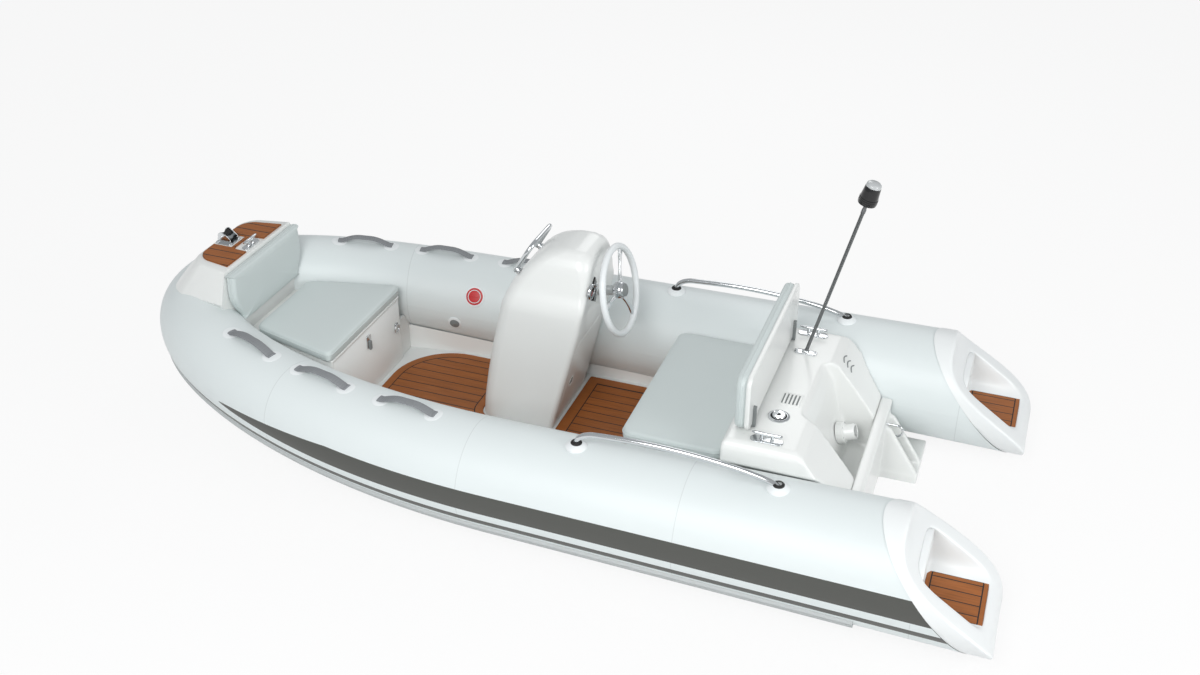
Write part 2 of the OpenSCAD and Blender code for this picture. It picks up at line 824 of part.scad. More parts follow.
module console_front_view(grow) {
    hw = console_w / 2 + grow;
    polygon([[-hw, 0], [hw, 0], [hw, 610], [hw - 10, 650], [hw - 34, 690], [hw - 44, 740],
        [hw - 56, 800], [hw - 86, 842], [hw - 130, 872 + grow], [-hw + 130, 872 + grow], [-hw + 86, 842],
        [-hw + 56, 800], [-hw + 44, 740], [-hw + 34, 690], [-hw + 10, 650], [-hw, 610]]);
}

module console_block(grow) {
    r = 62;
    intersection() {
        side(console_w + 100, console_y) offset(delta = grow) polygon(console_outline);
        translate([0, console_y, 0]) front(1000, 1800) console_front_view(grow);
        translate([1100, console_y - console_w / 2 - grow, 0]) linear_extrude(1000)
            round_rect([console_front_low - 1100 + grow, console_w + 2 * grow], r);
    }
}

// Places things on the leaning aft face: X along its width, Y up the face, Z out of it
module on_door() {
    translate([door_axis[0], console_y, door_axis[1]])
        rotate([0, -door_lean, 0]) rotate([90, 0, -90]) children();
}

module console() {
    color(white) difference() {
        console_block(0);
        difference() {
            console_block(-console_wall);
            translate([1000, -500, 0]) cube([900, 600, deck_z + 4]);
        }
        translate([1200, console_y - 150, deck_z - 1]) cube([420, 300, 20]);
        on_door() translate([-door_w / 2 - 4, -4, -console_wall - 26])
            linear_extrude(80) round_rect([door_w + 8, door_l + 8], 28);
        on_column() translate([0, 0, -column_l - 20]) cylinder(r = column_r + pin_gap, h = 100);
    }
}

module console_door() {
    color(white) on_door() translate([0, 0, -door_t - 1]) {
        difference() {
            translate([-door_w / 2, 0, 0]) linear_extrude(door_t) round_rect([door_w, door_l], 26);
            translate([0, door_l * 0.42, door_t - 5]) cylinder(d = 52, h = 10);
        }
        translate([-9, door_l * 0.42 - 22, door_t - 5]) linear_extrude(5) round_rect([18, 44], 8);
        translate([-100, 0, door_t + 1]) rotate([0, 90, 0]) cylinder(r = 3.4, h = 200);
    }
}

// Arched hand rail on two feet, square to the console's front slope
module console_rail() {
    hw = 112;
    rise = 130;
    bend = 46;
    lean = -31;
    foot = [1486, 735];
    out = [0.8, 0.6];
    color(chrome) {
        translate([foot[0] + 16 * out[0], console_y, foot[1] + 16 * out[1]])
            rotate([90, 0, 90]) rotate([lean, 0, 0]) bent_tube(concat([[hw, 0]],
                arc([hw - bend, rise - bend], bend, 0, 90), arc([bend - hw, rise - bend], bend, 90, 180),
                [[-hw, 0]]), 10);
        for (s = [-1, 1]) translate([foot[0], console_y + s * hw, foot[1]])
            rotate([0, 53.13, 0]) translate([0, 0, seat_gap]) cylinder(r = 13, h = 24);
    }
}

// Round gauge and curved switch panel on the dash
module dash_instruments() {
    dash_x = 1178;
    color(black) {
        translate([dash_x - 12, console_y + 122, 706]) rotate([0, 90, 0]) {
            cylinder(r = 27, h = 12 - seat_gap);
            translate([0, 0, -4]) cylinder(r = 32, h = 4);
        }
        translate([dash_x - 8, console_y + 64, 640]) cube([8 - seat_gap, 26, 112]);
    }
}

// Steering wheel: rim, three spokes and a hub, leaning with its column
module on_column() {
    translate([wheel_x, console_y, wheel_z]) rotate([0, 90 - 180 + wheel_lean, 0]) children();
}

column_r = 20;
column_l = 120;

module steering_wheel() {
    rim_r = wheel_r - wheel_rim / 2;
    color(white) on_column() {
        rotate_extrude($fn = 120) translate([rim_r, 0]) circle(d = wheel_rim);
    }
}

module steering_hub() {
    rim_r = wheel_r - wheel_rim / 2;
    color(chrome) on_column() {
        translate([0, 0, -18]) cylinder(r = 34, h = 40);
        translate([0, 0, 18]) cylinder(r = 27, h = 10);
        for (a = [90, 210, 330]) rotate([0, 0, a])
            translate([24, -11, -4]) cube([rim_r - 24 - wheel_rim / 2 - 0.2, 22, 8]);
        translate([0, 0, -column_l]) cylinder(r = column_r, h = column_l - 12);
    }
}

// Aft seat
module seat_box() {
    x0 = stern_front_x + 4;
    x1 = seat_front_x - 16;
    hw = 366;
    w = 12;
    color(white) translate([0, 0, deck_z + seat_gap]) difference() {
        translate([x0, -hw, 0]) linear_extrude(cushion_low - deck_z - 2 * seat_gap) round_rect([x1 - x0, 2 * hw], 20);
        translate([x0 + w, -hw + w, -1])
            linear_extrude(cushion_low - deck_z - w) round_rect([x1 - x0 - 2 * w, 2 * hw - 2 * w], 14);
    }
}

module seat_cushion() {
    color(pale_grey) translate([stern_front_x + 4, -seat_hw, cushion_low])
        linear_extrude(cushion_t) round_rect([seat_front_x - stern_front_x - 4, 2 * seat_hw], 30);
}

// Stern moulding: top deck and sloping arms, open in a splash well at the transom
module stern_view() {
    hw = stern_hw;
    difference() {
        polygon([[-455, deck_z], [455, deck_z], [455, 340], [hw + 8, 470], [hw - 4, stern_z - 8],
            [hw - 18, stern_z], [-hw + 18, stern_z], [-hw + 4, stern_z - 8], [-hw - 8, 470], [-455, 340]]);
        for (y = [-tube_y, tube_y]) translate([y, tube_h]) circle(tube_r + 0.8, $fn = 180);
    }
}

arm_low = transom_z + 6;

module stern_side_view() {
    polygon([[transom_t + seat_gap, deck_z + seat_gap], [stern_front_x, deck_z + seat_gap],
        [stern_front_x, stern_z - 14], [stern_front_x - 14, stern_z], [stern_aft_x, stern_z],
        [stern_aft_x - 30, stern_z - 14], [150, 420], [90, 345], [transom_t + seat_gap, arm_low]]);
}

module splash_well() {
    well = [[0, 140], [75, 140], [135, 165], [190, 300], [225, 430], [250, stern_z - 20],
        [268, stern_z + 1], [268, stern_z + 40], [0, stern_z + 40]];
    intersection() {
        side(2 * well_hw) polygon(well);
        translate([-200, -well_hw, 0]) linear_extrude(800) round_rect([470, 2 * well_hw], 60);
    }
}

module stern_moulding() {
    color(white) difference() {
        intersection() {
            front(transom_t, stern_front_x) stern_view();
            side(1200) stern_side_view();
        }
        splash_well();
    }
}

// Folding backrest: shell with rubber feet behind, cushion in front
module backrest_shell() {
    color(white) {
        front(backrest_x - backrest_t + 6, backrest_x - backrest_t + 24) backrest_view(0, 22);
        for (y = [-317, 317]) {
            translate([backrest_x - backrest_t - 4, y - 8, stern_z + seat_gap]) cube([26, 16, 90]);
            translate([backrest_x - 46, y - 12, backrest_z - 6]) cube([46, 24, 7]);
            translate([backrest_x, y + 12, backrest_hinge_z]) rotate([90, 0, 0]) cylinder(d = 11, h = 24);
        }
    }
}

module backrest_view(inset, r) {
    translate([-backrest_hw + inset, backrest_z + inset])
        round_rect([2 * (backrest_hw - inset), backrest_h - 2 * inset], r);
}

module backrest_cushion() {
    color(pale_grey) front(backrest_x - backrest_t + 24 + seat_gap, backrest_x + 6) backrest_view(4, 24);
}

// Fittings of the stern moulding
module fuel_filler() {
    color(chrome) translate([341, 224, stern_z + seat_gap]) {
        cylinder(r = 40, h = 5);
        cylinder(r = 27, h = 12);
    }
}

module stern_vents() {
    color(white) for (i = [0:4])
        translate([286 + 14 * i, 66, stern_z + seat_gap]) cube([7, 70, 5]);
}

module well_outlet() {
    color(white) translate([150, -110, 250]) rotate([0, -70, 0]) {
        translate([0, 0, 3]) cylinder(r = 44, h = 10);
        difference() {
            cylinder(r = 32, h = 56);
            translate([0, 0, 12]) cylinder(r = 24, h = 60);
        }
    }
}

// All-round light on its pole
module light_base() {
    color(chrome) difference() {
        translate([pole_x - 45, pole_y - 16, stern_z + seat_gap]) linear_extrude(8) round_rect([90, 32], 8);
        on_pole() translate([0, 0, -4]) cylinder(d = pole_d + 2 * pin_gap, h = 60);
    }
}

module on_pole() {
    translate([pole_x, pole_y, stern_z + 2]) rotate([0, -pole_lean, 0]) children();
}

module light_pole() {
    color(grey) on_pole() cylinder(d = pole_d, h = pole_h);
}

module light_lamp() {
    color(black) on_pole() translate([0, 0, pole_h + seat_gap]) {
        cylinder(r1 = 36, r2 = 29, h = 74);
        translate([0, 0, 74]) cylinder(r1 = 29, r2 = 22, h = 12);
    }
}

hull_bottom();
transom();
deck_liner();
tube_port();
tube_starboard();
tube_cuff_port();
tube_cuff_starboard();
strake_port();
strake_starboard();
cone_port();
cone_starboard();
cone_teak_port();
cone_teak_starboard();
handles_port();
handles_starboard();
rail_port();
rail_starboard();
rail_pads();
tube_valves();
bow_locker();
bow_lid();
bow_cushion();
bow_backrest();
bow_step();
bow_step_teak();
bow_fairlead();
bow_roller();
bow_cleat();
locker_fittings();
teak_forward();
teak_aft();
console();
console_door();
console_rail();
dash_instruments();
steering_wheel();
steering_hub();
seat_box();
seat_cushion();
stern_moulding();
backrest_shell();
backrest_cushion();
fuel_filler();
stern_cleats();
stern_vents();
well_outlet();
transom_eyes();
light_base();
light_pole();
light_lamp();
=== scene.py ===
"""Inflatable console tender afloat: collar, moulded hull, seats, console and fittings.

Sizes are in millimetres in the row frame: +X to the bow, +Y to port, +Z up,
with z = 0 at the waterline and x = 0 in the plane of the transom's outer face.
"""
from math import atan2, copysign, cos, degrees, dist, hypot, pi, radians, sin, sqrt

import bmesh
import bpy
from bpy.props import FloatProperty, FloatVectorProperty, PointerProperty
from bpy.types import Operator, Panel, PropertyGroup
from mathutils import Matrix, Vector


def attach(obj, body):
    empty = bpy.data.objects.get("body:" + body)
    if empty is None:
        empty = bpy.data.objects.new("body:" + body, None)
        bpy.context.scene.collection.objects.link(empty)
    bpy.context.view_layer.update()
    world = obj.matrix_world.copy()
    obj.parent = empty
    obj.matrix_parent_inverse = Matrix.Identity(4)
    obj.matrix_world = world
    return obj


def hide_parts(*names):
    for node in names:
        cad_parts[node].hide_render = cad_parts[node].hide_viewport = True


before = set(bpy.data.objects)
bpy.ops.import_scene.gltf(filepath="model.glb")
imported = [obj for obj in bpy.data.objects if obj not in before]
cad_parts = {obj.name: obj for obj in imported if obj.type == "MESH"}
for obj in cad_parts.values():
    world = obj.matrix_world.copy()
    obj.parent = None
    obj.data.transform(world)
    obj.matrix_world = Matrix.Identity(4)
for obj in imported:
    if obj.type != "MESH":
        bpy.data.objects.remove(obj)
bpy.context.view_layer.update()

bl_info = {
    "name": "Inflatable tender",
    "version": (1, 0, 0),
    "blender": (4, 5, 0),
    "location": "View3D > Sidebar > Tender",
    "description": "Builds an inflatable boat with a rigid hull, afloat",
    "category": "Object",
}

MM = 0.001
PORT, STARBOARD = 1, -1
SIDES = ((PORT, "port"), (STARBOARD, "starboard"))


# Colours
def linear(code):
    """A hex sRGB colour as linear red, green, blue."""
    parts = [int(code[i:i + 2], 16) / 255 for i in (1, 3, 5)]
    return [c / 12.92 if c <= 0.04045 else ((c + 0.055) / 1.055) ** 2.4 for c in parts]


def colour(name, description, code):
    return FloatVectorProperty(name=name, description=description, subtype="COLOR", size=3, min=0, max=1,
                               default=linear(code))


def length(name, description, mm):
    return FloatProperty(name=name, description=description, unit="LENGTH", default=mm * MM, min=0)


class RIB_PG_sizes(PropertyGroup):
    """Sizes that a user would change."""
    tube_radius: length("Tube radius", "Radius of the collar's tubes at the stern", 225)
    rail_diameter: length("Rail diameter", "Diameter of the side grab rails", 22)
    wheel_radius: length("Wheel radius", "Outer radius of the steering wheel", 190)
    plank_pitch: length("Plank pitch", "Distance from one teak plank to the next", 52)
    pole_diameter: length("Pole diameter", "Diameter of the light pole", 14)


class RIB_PG_colours(PropertyGroup):
    """Colours that a user would change."""
    collar: colour("Collar", "Coated fabric of the tubes", "#dbe2e2")
    stripe: colour("Stripes", "Charcoal bands along the collar", "#4a4b47")
    moulding: colour("Mouldings", "Gelcoat of hull, console and seats", "#e6e8e6")
    vinyl: colour("Cushions", "Vinyl of the cushions", "#c8d1d0")
    teak: colour("Teak", "Planks of the deck pads", "#9c5a24")
    valve: colour("Valve", "Cap of the inflation valve", "#c4262b")


def sizes():
    return bpy.context.scene.rib_sizes


def colours():
    return bpy.context.scene.rib_colours


# Shape of the collar's axis
TUBE_Y, TUBE_H, TAPER, BOW_SLIM = 598, 250, 0.012, 30
BEND_X, BOW_X, SHEER_X, SHEER_RISE, BOW_POWER = 1240, 2928, 1280, 153, 2.3
SEAM_LOW, SEAM_TOP, CUT_LOW, CUT_TOP, CONE_R = -498, -110, -536, -200, 227


def clamp(v, low=0.0, high=1.0):
    return max(low, min(high, v))


def mix(a, b, t):
    return a + (b - a) * t


def axis_y(x):
    return TUBE_Y * (1 - clamp((x - BEND_X) / (BOW_X - BEND_X)) ** BOW_POWER) ** (1 / BOW_POWER)


def sheer(x):
    return clamp((x - SHEER_X) / (BOW_X - SHEER_X)) ** 2


def axis_z(x):
    return TUBE_H + SHEER_RISE * sheer(x)


def radius_at(x):
    return sizes().tube_radius / MM - TAPER * (x + 200) - BOW_SLIM * sheer(x)


def station(x, side=PORT):
    """Axis point, outward normal, forward tangent and radius of the tube at x."""
    slope = (axis_y(min(x + 3, BOW_X)) - axis_y(x - 3)) / 6
    ahead = Vector((1, side * slope, 0)).normalized()
    out = Vector((-slope, side, 0)).normalized()
    return Vector((x, side * axis_y(x), axis_z(x))), out, ahead, radius_at(x)


def on_tube(x, angle, off=0.0, side=PORT):
    """Point off mm outside the tube's skin; 0 degrees is outboard and 90 the crown."""
    centre, out, _, r = station(x, side)
    return centre + (r + off) * ray(angle, out)


def seam_x(z):
    return SEAM_LOW + (SEAM_TOP - SEAM_LOW) * (z - TUBE_H + 225) / 450


def cut_x(z):
    swing = (CUT_TOP - CUT_LOW) / 2
    turn = clamp(1.25 * (z - TUBE_H) / CONE_R - 0.12, -1, 1)
    return CUT_LOW + swing + swing * sin(pi / 2 * turn)


# Outlines and paths
def circle(n):
    """Cosine and sine of n even steps round a circle."""
    return [(cos(2 * pi * j / n), sin(2 * pi * j / n)) for j in range(n)]


def ray(angle, out, up=Vector((0, 0, 1))):
    """Unit vector at that angle in degrees from out towards up."""
    a = radians(angle)
    return cos(a) * out + sin(a) * up


def lean_up(angle):
    """Unit vector leaning aft from upright by that angle in degrees."""
    a = radians(angle)
    return Vector((-sin(a), 0, cos(a)))


def level(outline, z):
    """An outline of x, y points at height z."""
    return [Vector((x, y, z)) for x, y in outline]


def arc(cx, cy, r, a0, a1, n=8):
    return [(cx + r * cos(radians(mix(a0, a1, i / n))),
             cy + r * sin(radians(mix(a0, a1, i / n)))) for i in range(n + 1)]


def round_rect(x0, y0, x1, y1, r, n=8):
    return (arc(x1 - r, y0 + r, r, -90, 0, n) + arc(x1 - r, y1 - r, r, 0, 90, n)
            + arc(x0 + r, y1 - r, r, 90, 180, n) + arc(x0 + r, y0 + r, r, 180, 270, n))


def smooth_path(points, steps=6, closed=False):
    """Catmull-Rom curve through the points."""
    pts = [Vector(p) for p in points]
    n = len(pts)
    out = []
    for i in range(n if closed else n - 1):
        p = [pts[(i + k) % n] if closed else pts[int(clamp(i + k, 0, n - 1))] for k in (-1, 0, 1, 2)]
        for s in range(steps):
            t = s / steps
            out.append(0.5 * (2 * p[1] + (p[2] - p[0]) * t + (2 * p[0] - 5 * p[1] + 4 * p[2] - p[3]) * t * t
                              + (3 * p[1] - p[0] - 3 * p[2] + p[3]) * t ** 3))
    return out if closed else out + [pts[-1]]


def smooth_outline(points, steps):
    """Closed Catmull-Rom outline through x, y points."""
    return [(p.x, p.y) for p in smooth_path(level(points, 0), steps, True)]


def frame_at(origin, z_axis, x_hint=(1, 0, 0)):
    """Matrix that puts local Z along z_axis, with X near x_hint."""
    z = Vector(z_axis).normalized()
    y = z.cross(Vector(x_hint)).normalized()
    x = y.cross(z)
    m = Matrix((x, y, z)).transposed().to_4x4()
    m.translation = Vector(origin)
    return m


def facing_aft(x, y=0, z=0):
    """Frame with local X to port, Y up and Z aft."""
    return Matrix(((0, 0, -1, x), (1, 0, 0, y), (0, 1, 0, z), (0, 0, 0, 1)))


class Shape:
    """Collects surfaces in millimetres and turns them into one object of the scene."""

    def __init__(self):
        self.bm = bmesh.new()

    def _face(self, verts, mat):
        if len(set(verts)) > 2:
            self.bm.faces.new(verts).material_index = mat

    def loft(self, rings, closed=True, caps=(False, False), mat=0):
        """Skin over rings of equal length."""
        rows = [[self.bm.verts.new(p) for p in ring] for ring in rings]
        n = len(rows[0])
        for a, b in zip(rows, rows[1:]):
            for j in range(n if closed else n - 1):
                k = (j + 1) % n
                self._face((a[j], a[k], b[k], b[j]), mat)
        for cap, row in zip(caps, (rows[0][::-1], rows[-1])):
            if cap:
                self._face(row, mat)
        return self

    def lathe(self, profile, place=Matrix(), steps=40, mat=0):
        """Turned shape: profile is (radius, height), about local Z of place."""
        return self.loft([[place @ Vector((r * c, r * s, z)) for c, s in circle(steps)] for r, z in profile],
                         mat=mat)

    def tube(self, points, radius, sides=16, mat=0, closed=False):
        """Round bar along points; radius is one value or one for each point."""
        pts = [Vector(p) for p in points]
        n = len(pts)
        radii = radius if isinstance(radius, (list, tuple)) else [radius] * n
        normal = None
        rings = []
        for i, p in enumerate(pts):
            a, b = (pts[i - 1], pts[(i + 1) % n]) if closed else (pts[max(0, i - 1)], pts[min(n - 1, i + 1)])
            ahead = (b - a).normalized()
            if normal is None:
                hint = Vector((0, 0, 1)) if abs(ahead.z) < 0.9 else Vector((1, 0, 0))
                normal = (hint - ahead * hint.dot(ahead)).normalized()
            else:
                normal = (normal - ahead * normal.dot(ahead)).normalized()
            across = ahead.cross(normal)
            rings.append([p + radii[i] * (c * normal + s * across) for c, s in circle(sides)])
        if closed:
            rings.append(rings[0])
        return self.loft(rings, caps=(not closed, not closed), mat=mat)

    def slab(self, outline, z0, z1, edge=0.0, place=Matrix(), mat=0, puff=0.0, steps=4):
        """Solid from an outline in local XY, its top edge rounded and its top puffed up."""
        cx = sum(p[0] for p in outline) / len(outline)
        cy = sum(p[1] for p in outline) / len(outline)
        span = max(hypot(p[0] - cx, p[1] - cy) for p in outline)

        def ring(inset, z):
            s = [1 - inset / max(hypot(p[0] - cx, p[1] - cy), 1) for p in outline]
            return [place @ Vector((cx + (p[0] - cx) * k, cy + (p[1] - cy) * k, z)) for p,
                    k in zip(outline, s)]
        edge = max(edge, 0.01)
        rings = [ring(edge * 0.5, z0), ring(0, z0 + edge * 0.5)]
        rings += [ring(edge * (1 - cos(pi / 2 * i / steps)),
                       z1 - edge + edge * sin(pi / 2 * i / steps)) for i in range(steps + 1)]
        if puff:
            for i in range(1, 8):
                t = i / 8
                shrink = 1 - (edge / span + t * (1 - edge / span))
                rings.append([place @ Vector((cx + (p[0] - cx) * shrink, cy + (p[1] - cy) * shrink,
                                              z1 + puff * (1 - shrink ** 3))) for p in outline])
        return self.loft(rings, caps=(True, True), mat=mat)

    def done(self, name, looks, nodes=(), body="boat", slot=None, sharp=40, weld=True):
        """Makes the object: at the origin, with its place in the mesh."""
        bm = self.bm
        if weld:
            bmesh.ops.remove_doubles(bm, verts=bm.verts, dist=0.01)
        bmesh.ops.recalc_face_normals(bm, faces=bm.faces)
        bmesh.ops.scale(bm, vec=(MM, MM, MM), verts=bm.verts)
        mesh = bpy.data.meshes.new(name)
        bm.to_mesh(mesh)
        bm.free()
        return finish_object(name, mesh, looks, nodes, body, slot, sharp)


def linked(name, data):
    obj = bpy.data.objects.new(name, data)
    bpy.context.scene.collection.objects.link(obj)
    return obj


def finish_object(name, mesh, looks, nodes, body, slot, sharp=40):
    """Object with its looks, edges, body and replaced nodes; looks are parted by spaces. The slot is looked
    up but not given to the object.
    """
    obj = linked(name, mesh)
    for key in looks.split():
        mesh.materials.append(look(key))
    mesh.shade_smooth()
    mesh.set_sharp_from_angle(angle=radians(sharp))
    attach(obj, body)
    if nodes:
        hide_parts(*nodes)
    slot = slot or SLOTS.get(looks.split()[0])
    return obj


def softened(name, node, key, voxel, rounds):
    """A moulding with soft edges over a CAD node's shape."""
    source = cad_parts[node]
    mesh = source.data.copy()
    mesh.transform(source.matrix_world)
    mesh.materials.clear()
    obj = finish_object(name, mesh, key, [node], "boat", None, sharp=180)
    remesh = obj.modifiers.new("Skin", "REMESH")
    remesh.mode = "VOXEL"
    remesh.voxel_size = voxel * MM
    remesh.use_smooth_shade = True
    relax = obj.modifiers.new("Relax", "SMOOTH")
    relax.factor = 0.5
    relax.iterations = rounds


def dressed(node, key):
    """A CAD node shown as it is, with its finish."""
    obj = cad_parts[node]
    obj.data.materials.clear()
    obj.data.materials.append(look(key))


# Materials
class Tree:
    """Short way to write a node tree."""

    def __init__(self, name):
        self.material = bpy.data.materials.new(name)
        self.material.use_nodes = True
        self.tree = self.material.node_tree
        self.tree.nodes.clear()

    def add(self, kind, inputs=(), **settings):
        node = self.tree.nodes.new("ShaderNode" + kind)
        for key, value in settings.items():
            setattr(node, key, value)
        for key, value in dict(inputs).items():
            self.join(value, node.inputs[key])
        return node.outputs[0] if node.outputs else None

    def join(self, value, socket):
        """Links a socket to the value, or sets it."""
        if isinstance(value, bpy.types.NodeSocket):
            self.tree.links.new(value, socket)
        elif socket.type == "RGBA":
            socket.default_value = list(value) + [1]
        else:
            socket.default_value = value

    def math(self, operation, a, b=0.0, clamped=False):
        return self.add("Math", {0: a, 1: b}, operation=operation, use_clamp=clamped)

    def times(self, a, b):
        return self.math("MULTIPLY", a, b)

    def minus(self, a, b, clamped=False):
        return self.math("SUBTRACT", a, b, clamped)

    def band(self, value, centre, half):
        """1 where the value is nearer than half to the centre."""
        return self.math("LESS_THAN", self.math("ABSOLUTE", self.minus(value, centre)), half)

    def attribute(self, name):
        return self.add("Attribute", attribute_name=name).node.outputs["Fac"]

    def blend(self, factor, a, b):
        return self.add("Mix", {0: factor, 6: a, 7: b}, data_type="RGBA").node.outputs[2]

    def shaded(self, factor, base, by):
        """The base colour, and that much of its darker or lighter tone."""
        return self.blend(factor, base, [c * by for c in base])

    def coords(self):
        """Object coordinates in millimetres."""
        where = self.add("TexCoord").node.outputs["Object"]
        return self.add("VectorMath", {0: where, "Scale": 1 / MM}, operation="SCALE")

    def axis(self, vector, index):
        return self.add("SeparateXYZ", {0: vector}).node.outputs[index]

    def noise(self, vector, size, stretch=(1, 1, 1), detail=3.0):
        """Noise with spots of about size mm, longer along the stretched axes."""
        scaled = self.add("VectorMath", {0: vector, 1: [1 / (size * s) for s in stretch]},
                          operation="MULTIPLY")
        return self.add("TexNoise", {"Vector": scaled, "Scale": 1.0, "Detail": detail})

    def bump(self, height, mm, strength=1.0):
        return self.add("Bump", {"Height": height, "Distance": mm * MM, "Strength": strength})

    def finish(self, colour_in, rough, metal=0.0, normal=None, coat=0.0, sheen=0.0):
        inputs = {"Base Color": colour_in, "Roughness": rough, "Metallic": metal, "Coat Weight": coat,
                  "Coat Roughness": 0.08, "Sheen Weight": sheen}
        if normal is not None:
            inputs["Normal"] = normal
        bsdf = self.add("BsdfPrincipled", inputs)
        self.add("OutputMaterial", {"Surface": bsdf})
        return self.material


def plain(name, code, rough, metal=0.0, coat=0.0, grain=0.0, grain_size=2.0, tint=None):
    """A material with slight wear in its roughness and, if asked, a fine grain."""
    tree = Tree(name)
    where = tree.coords()
    patch = tree.noise(where, 180)
    base = tint if tint is not None else linear(code)
    shade = tree.shaded(tree.times(patch, 0.10), base, 0.86)
    roughness = tree.math("ADD", rough - 0.04, tree.times(patch, 0.08))
    normal = tree.bump(tree.noise(where, grain_size), grain) if grain else None
    return tree.finish(shade, roughness, metal, normal, coat)


def collar_fabric():
    """Coated collar fabric, white with charcoal bands glued along its outboard side."""
    tree = Tree("collar fabric")
    around, along = tree.attribute("around"), tree.attribute("along")
    tip_x, tip_length, middle, droop = 2440.0, 520.0, 3.5, 6.0
    taper = tree.math("DIVIDE", tree.minus(tip_x, along), tip_length, True)
    centre = tree.minus(middle, tree.times(tree.minus(1.0, taper), droop))
    wide = tree.band(around, centre, tree.times(tree.math("POWER", taper, 0.6), 11.5))
    band = tree.math("MAXIMUM", wide, tree.band(around, -21.8, 3.8))
    where = tree.coords()
    base = list(colours().collar)
    fabric = tree.shaded(tree.times(tree.noise(where, 260), 0.12), base, 0.88)
    # Glued seams of the panels, 820 mm apart
    seam = tree.math("LESS_THAN", tree.math("PINGPONG", tree.minus(along, 560.0), 410.0), 1.6)
    fabric = tree.blend(tree.times(seam, 0.35), fabric, [c * 0.62 for c in base])
    shade = tree.blend(band, fabric, list(colours().stripe))
    weave = tree.noise(where, 1.6, detail=1.0)
    height = tree.math("ADD", tree.times(weave, 0.05), tree.times(band, 0.4))
    height = tree.math("ADD", height, tree.times(tree.noise(where, 420, detail=1.0), 3.0))
    return tree.finish(shade, 0.46, normal=tree.bump(height, 1.0), sheen=0.1)


def teak():
    """Oiled teak strips with a grain along X and black caulking between them."""
    tree = Tree("teak")
    where = tree.coords()
    pitch = sizes().plank_pitch / MM
    row = tree.math("DIVIDE", tree.math("ADD", tree.axis(where, 1), 5000.0), pitch)
    lot = tree.add("TexWhiteNoise", {"W": tree.math("FLOOR", row)}, noise_dimensions="1D")
    shift = tree.add("CombineXYZ", {"X": tree.times(lot, 900.0)})
    shifted = tree.add("VectorMath", {0: where, 1: shift}, operation="ADD")
    grain = tree.noise(shifted, 5, (22, 1, 1), 5.0)
    figure = tree.noise(shifted, 38, (9, 1, 1), 2.0)
    base = list(colours().teak)
    tone = tree.shaded(tree.times(lot, 0.5), base, 0.72)
    tone = tree.blend(tree.times(figure, 0.45), tone, [c * 1.25 for c in base])
    streak = tree.math("MULTIPLY", tree.minus(grain, 0.42, True), 2.0, True)
    tone = tree.blend(streak, tone, [c * 0.5 for c in base])
    gap = tree.math("LESS_THAN", tree.math("PINGPONG", tree.math("FRACT", row), 0.5), 2.4 / pitch)
    shade = tree.blend(gap, tone, linear("#2a211a"))
    height = tree.minus(tree.times(grain, 0.2), gap)
    return tree.finish(shade, 0.55, normal=tree.bump(height, 0.8))


def teak_margin():
    """Teak margin plank round a pad, without caulking of its own."""
    tree = Tree("teak margin")
    base = list(colours().teak)
    grain = tree.noise(tree.coords(), 6, (16, 2, 1), 5.0)
    tone = tree.blend(tree.times(grain, 0.7), [c * 1.1 for c in base], [c * 0.62 for c in base])
    return tree.finish(tone, 0.55, normal=tree.bump(grain, 0.2))


def vinyl():
    """Pale grey marine vinyl with a fine leather grain."""
    tree = Tree("cushion vinyl")
    where = tree.coords()
    grain = tree.add("TexVoronoi", {"Vector": where, "Scale": 0.6})
    shade = tree.shaded(tree.times(tree.noise(where, 160), 0.14), list(colours().vinyl), 0.85)
    return tree.finish(shade, 0.5, normal=tree.bump(grain, 0.15, 0.6), sheen=0.15)


def webbing():
    """Grey moulded rubber of the handles, with cross ribs."""
    tree = Tree("handle rubber")
    rib = tree.math("PINGPONG", tree.attribute("along"), 5.0)
    return tree.finish(linear("#84878a"), 0.6, normal=tree.bump(rib, 0.3))


LOOKS = {
    "fabric": collar_fabric,
    "teak": teak,
    "margin": teak_margin,
    "vinyl": vinyl,
    "webbing": webbing,
    # Polished white gelcoat on a glass fibre moulding
    "gelcoat": lambda: plain("gelcoat", None, 0.3, coat=0.25, tint=list(colours().moulding)),
    # Moulded white polyethylene with a faint orange peel
    "cone": lambda: plain("cone plastic", "#e8ebeb", 0.38, grain=0.12, grain_size=5),
    # Polished stainless steel
    "steel": lambda: plain("polished steel", "#d4d7d9", 0.14, metal=1.0),
    # Extruded grey rubber of the rubbing strake
    "strake": lambda: plain("strake rubber", "#b4b8b8", 0.55, grain=0.1, grain_size=3),
    # Black caulking and gaskets; on the console's cut opening it also gives painted shade in the hollow
    # behind the door
    "caulk": lambda: plain("black rubber", "#1b1b1b", 0.7),
    # Glossy black moulded plastic
    "black": lambda: plain("black plastic", "#0c0d0f", 0.22, coat=0.3),
    # Mid grey moulded plastic; on the stern it is also painted shade in the louvre gaps, the drain slots and
    # the outlet's bore
    "grey": lambda: plain("grey plastic", "#7d8282", 0.5),
    # Deck moulding with a fine non-slip grain
    "deck": lambda: plain("deck moulding", "#dfe2e1", 0.5, grain=0.3, grain_size=3),
    # White moulded rim of the steering wheel
    "rim": lambda: plain("wheel rim", "#e4e8e9", 0.42, grain=0.06, grain_size=2),
    # Red moulded plastic of the inflation valve
    "red": lambda: plain("red plastic", None, 0.4, tint=list(colours().valve)),
    # White coated fabric of patches and pads
    "patch": lambda: plain("white patch", "#e6eaeb", 0.48, grain=0.05),
    # Anodised light pole
    "pole": lambda: plain("pole metal", "#77797a", 0.34, metal=0.85),
    # Clear lens of the light
    "lens": lambda: plain("lens", "#b9bcbd", 0.2, coat=0.4),
}
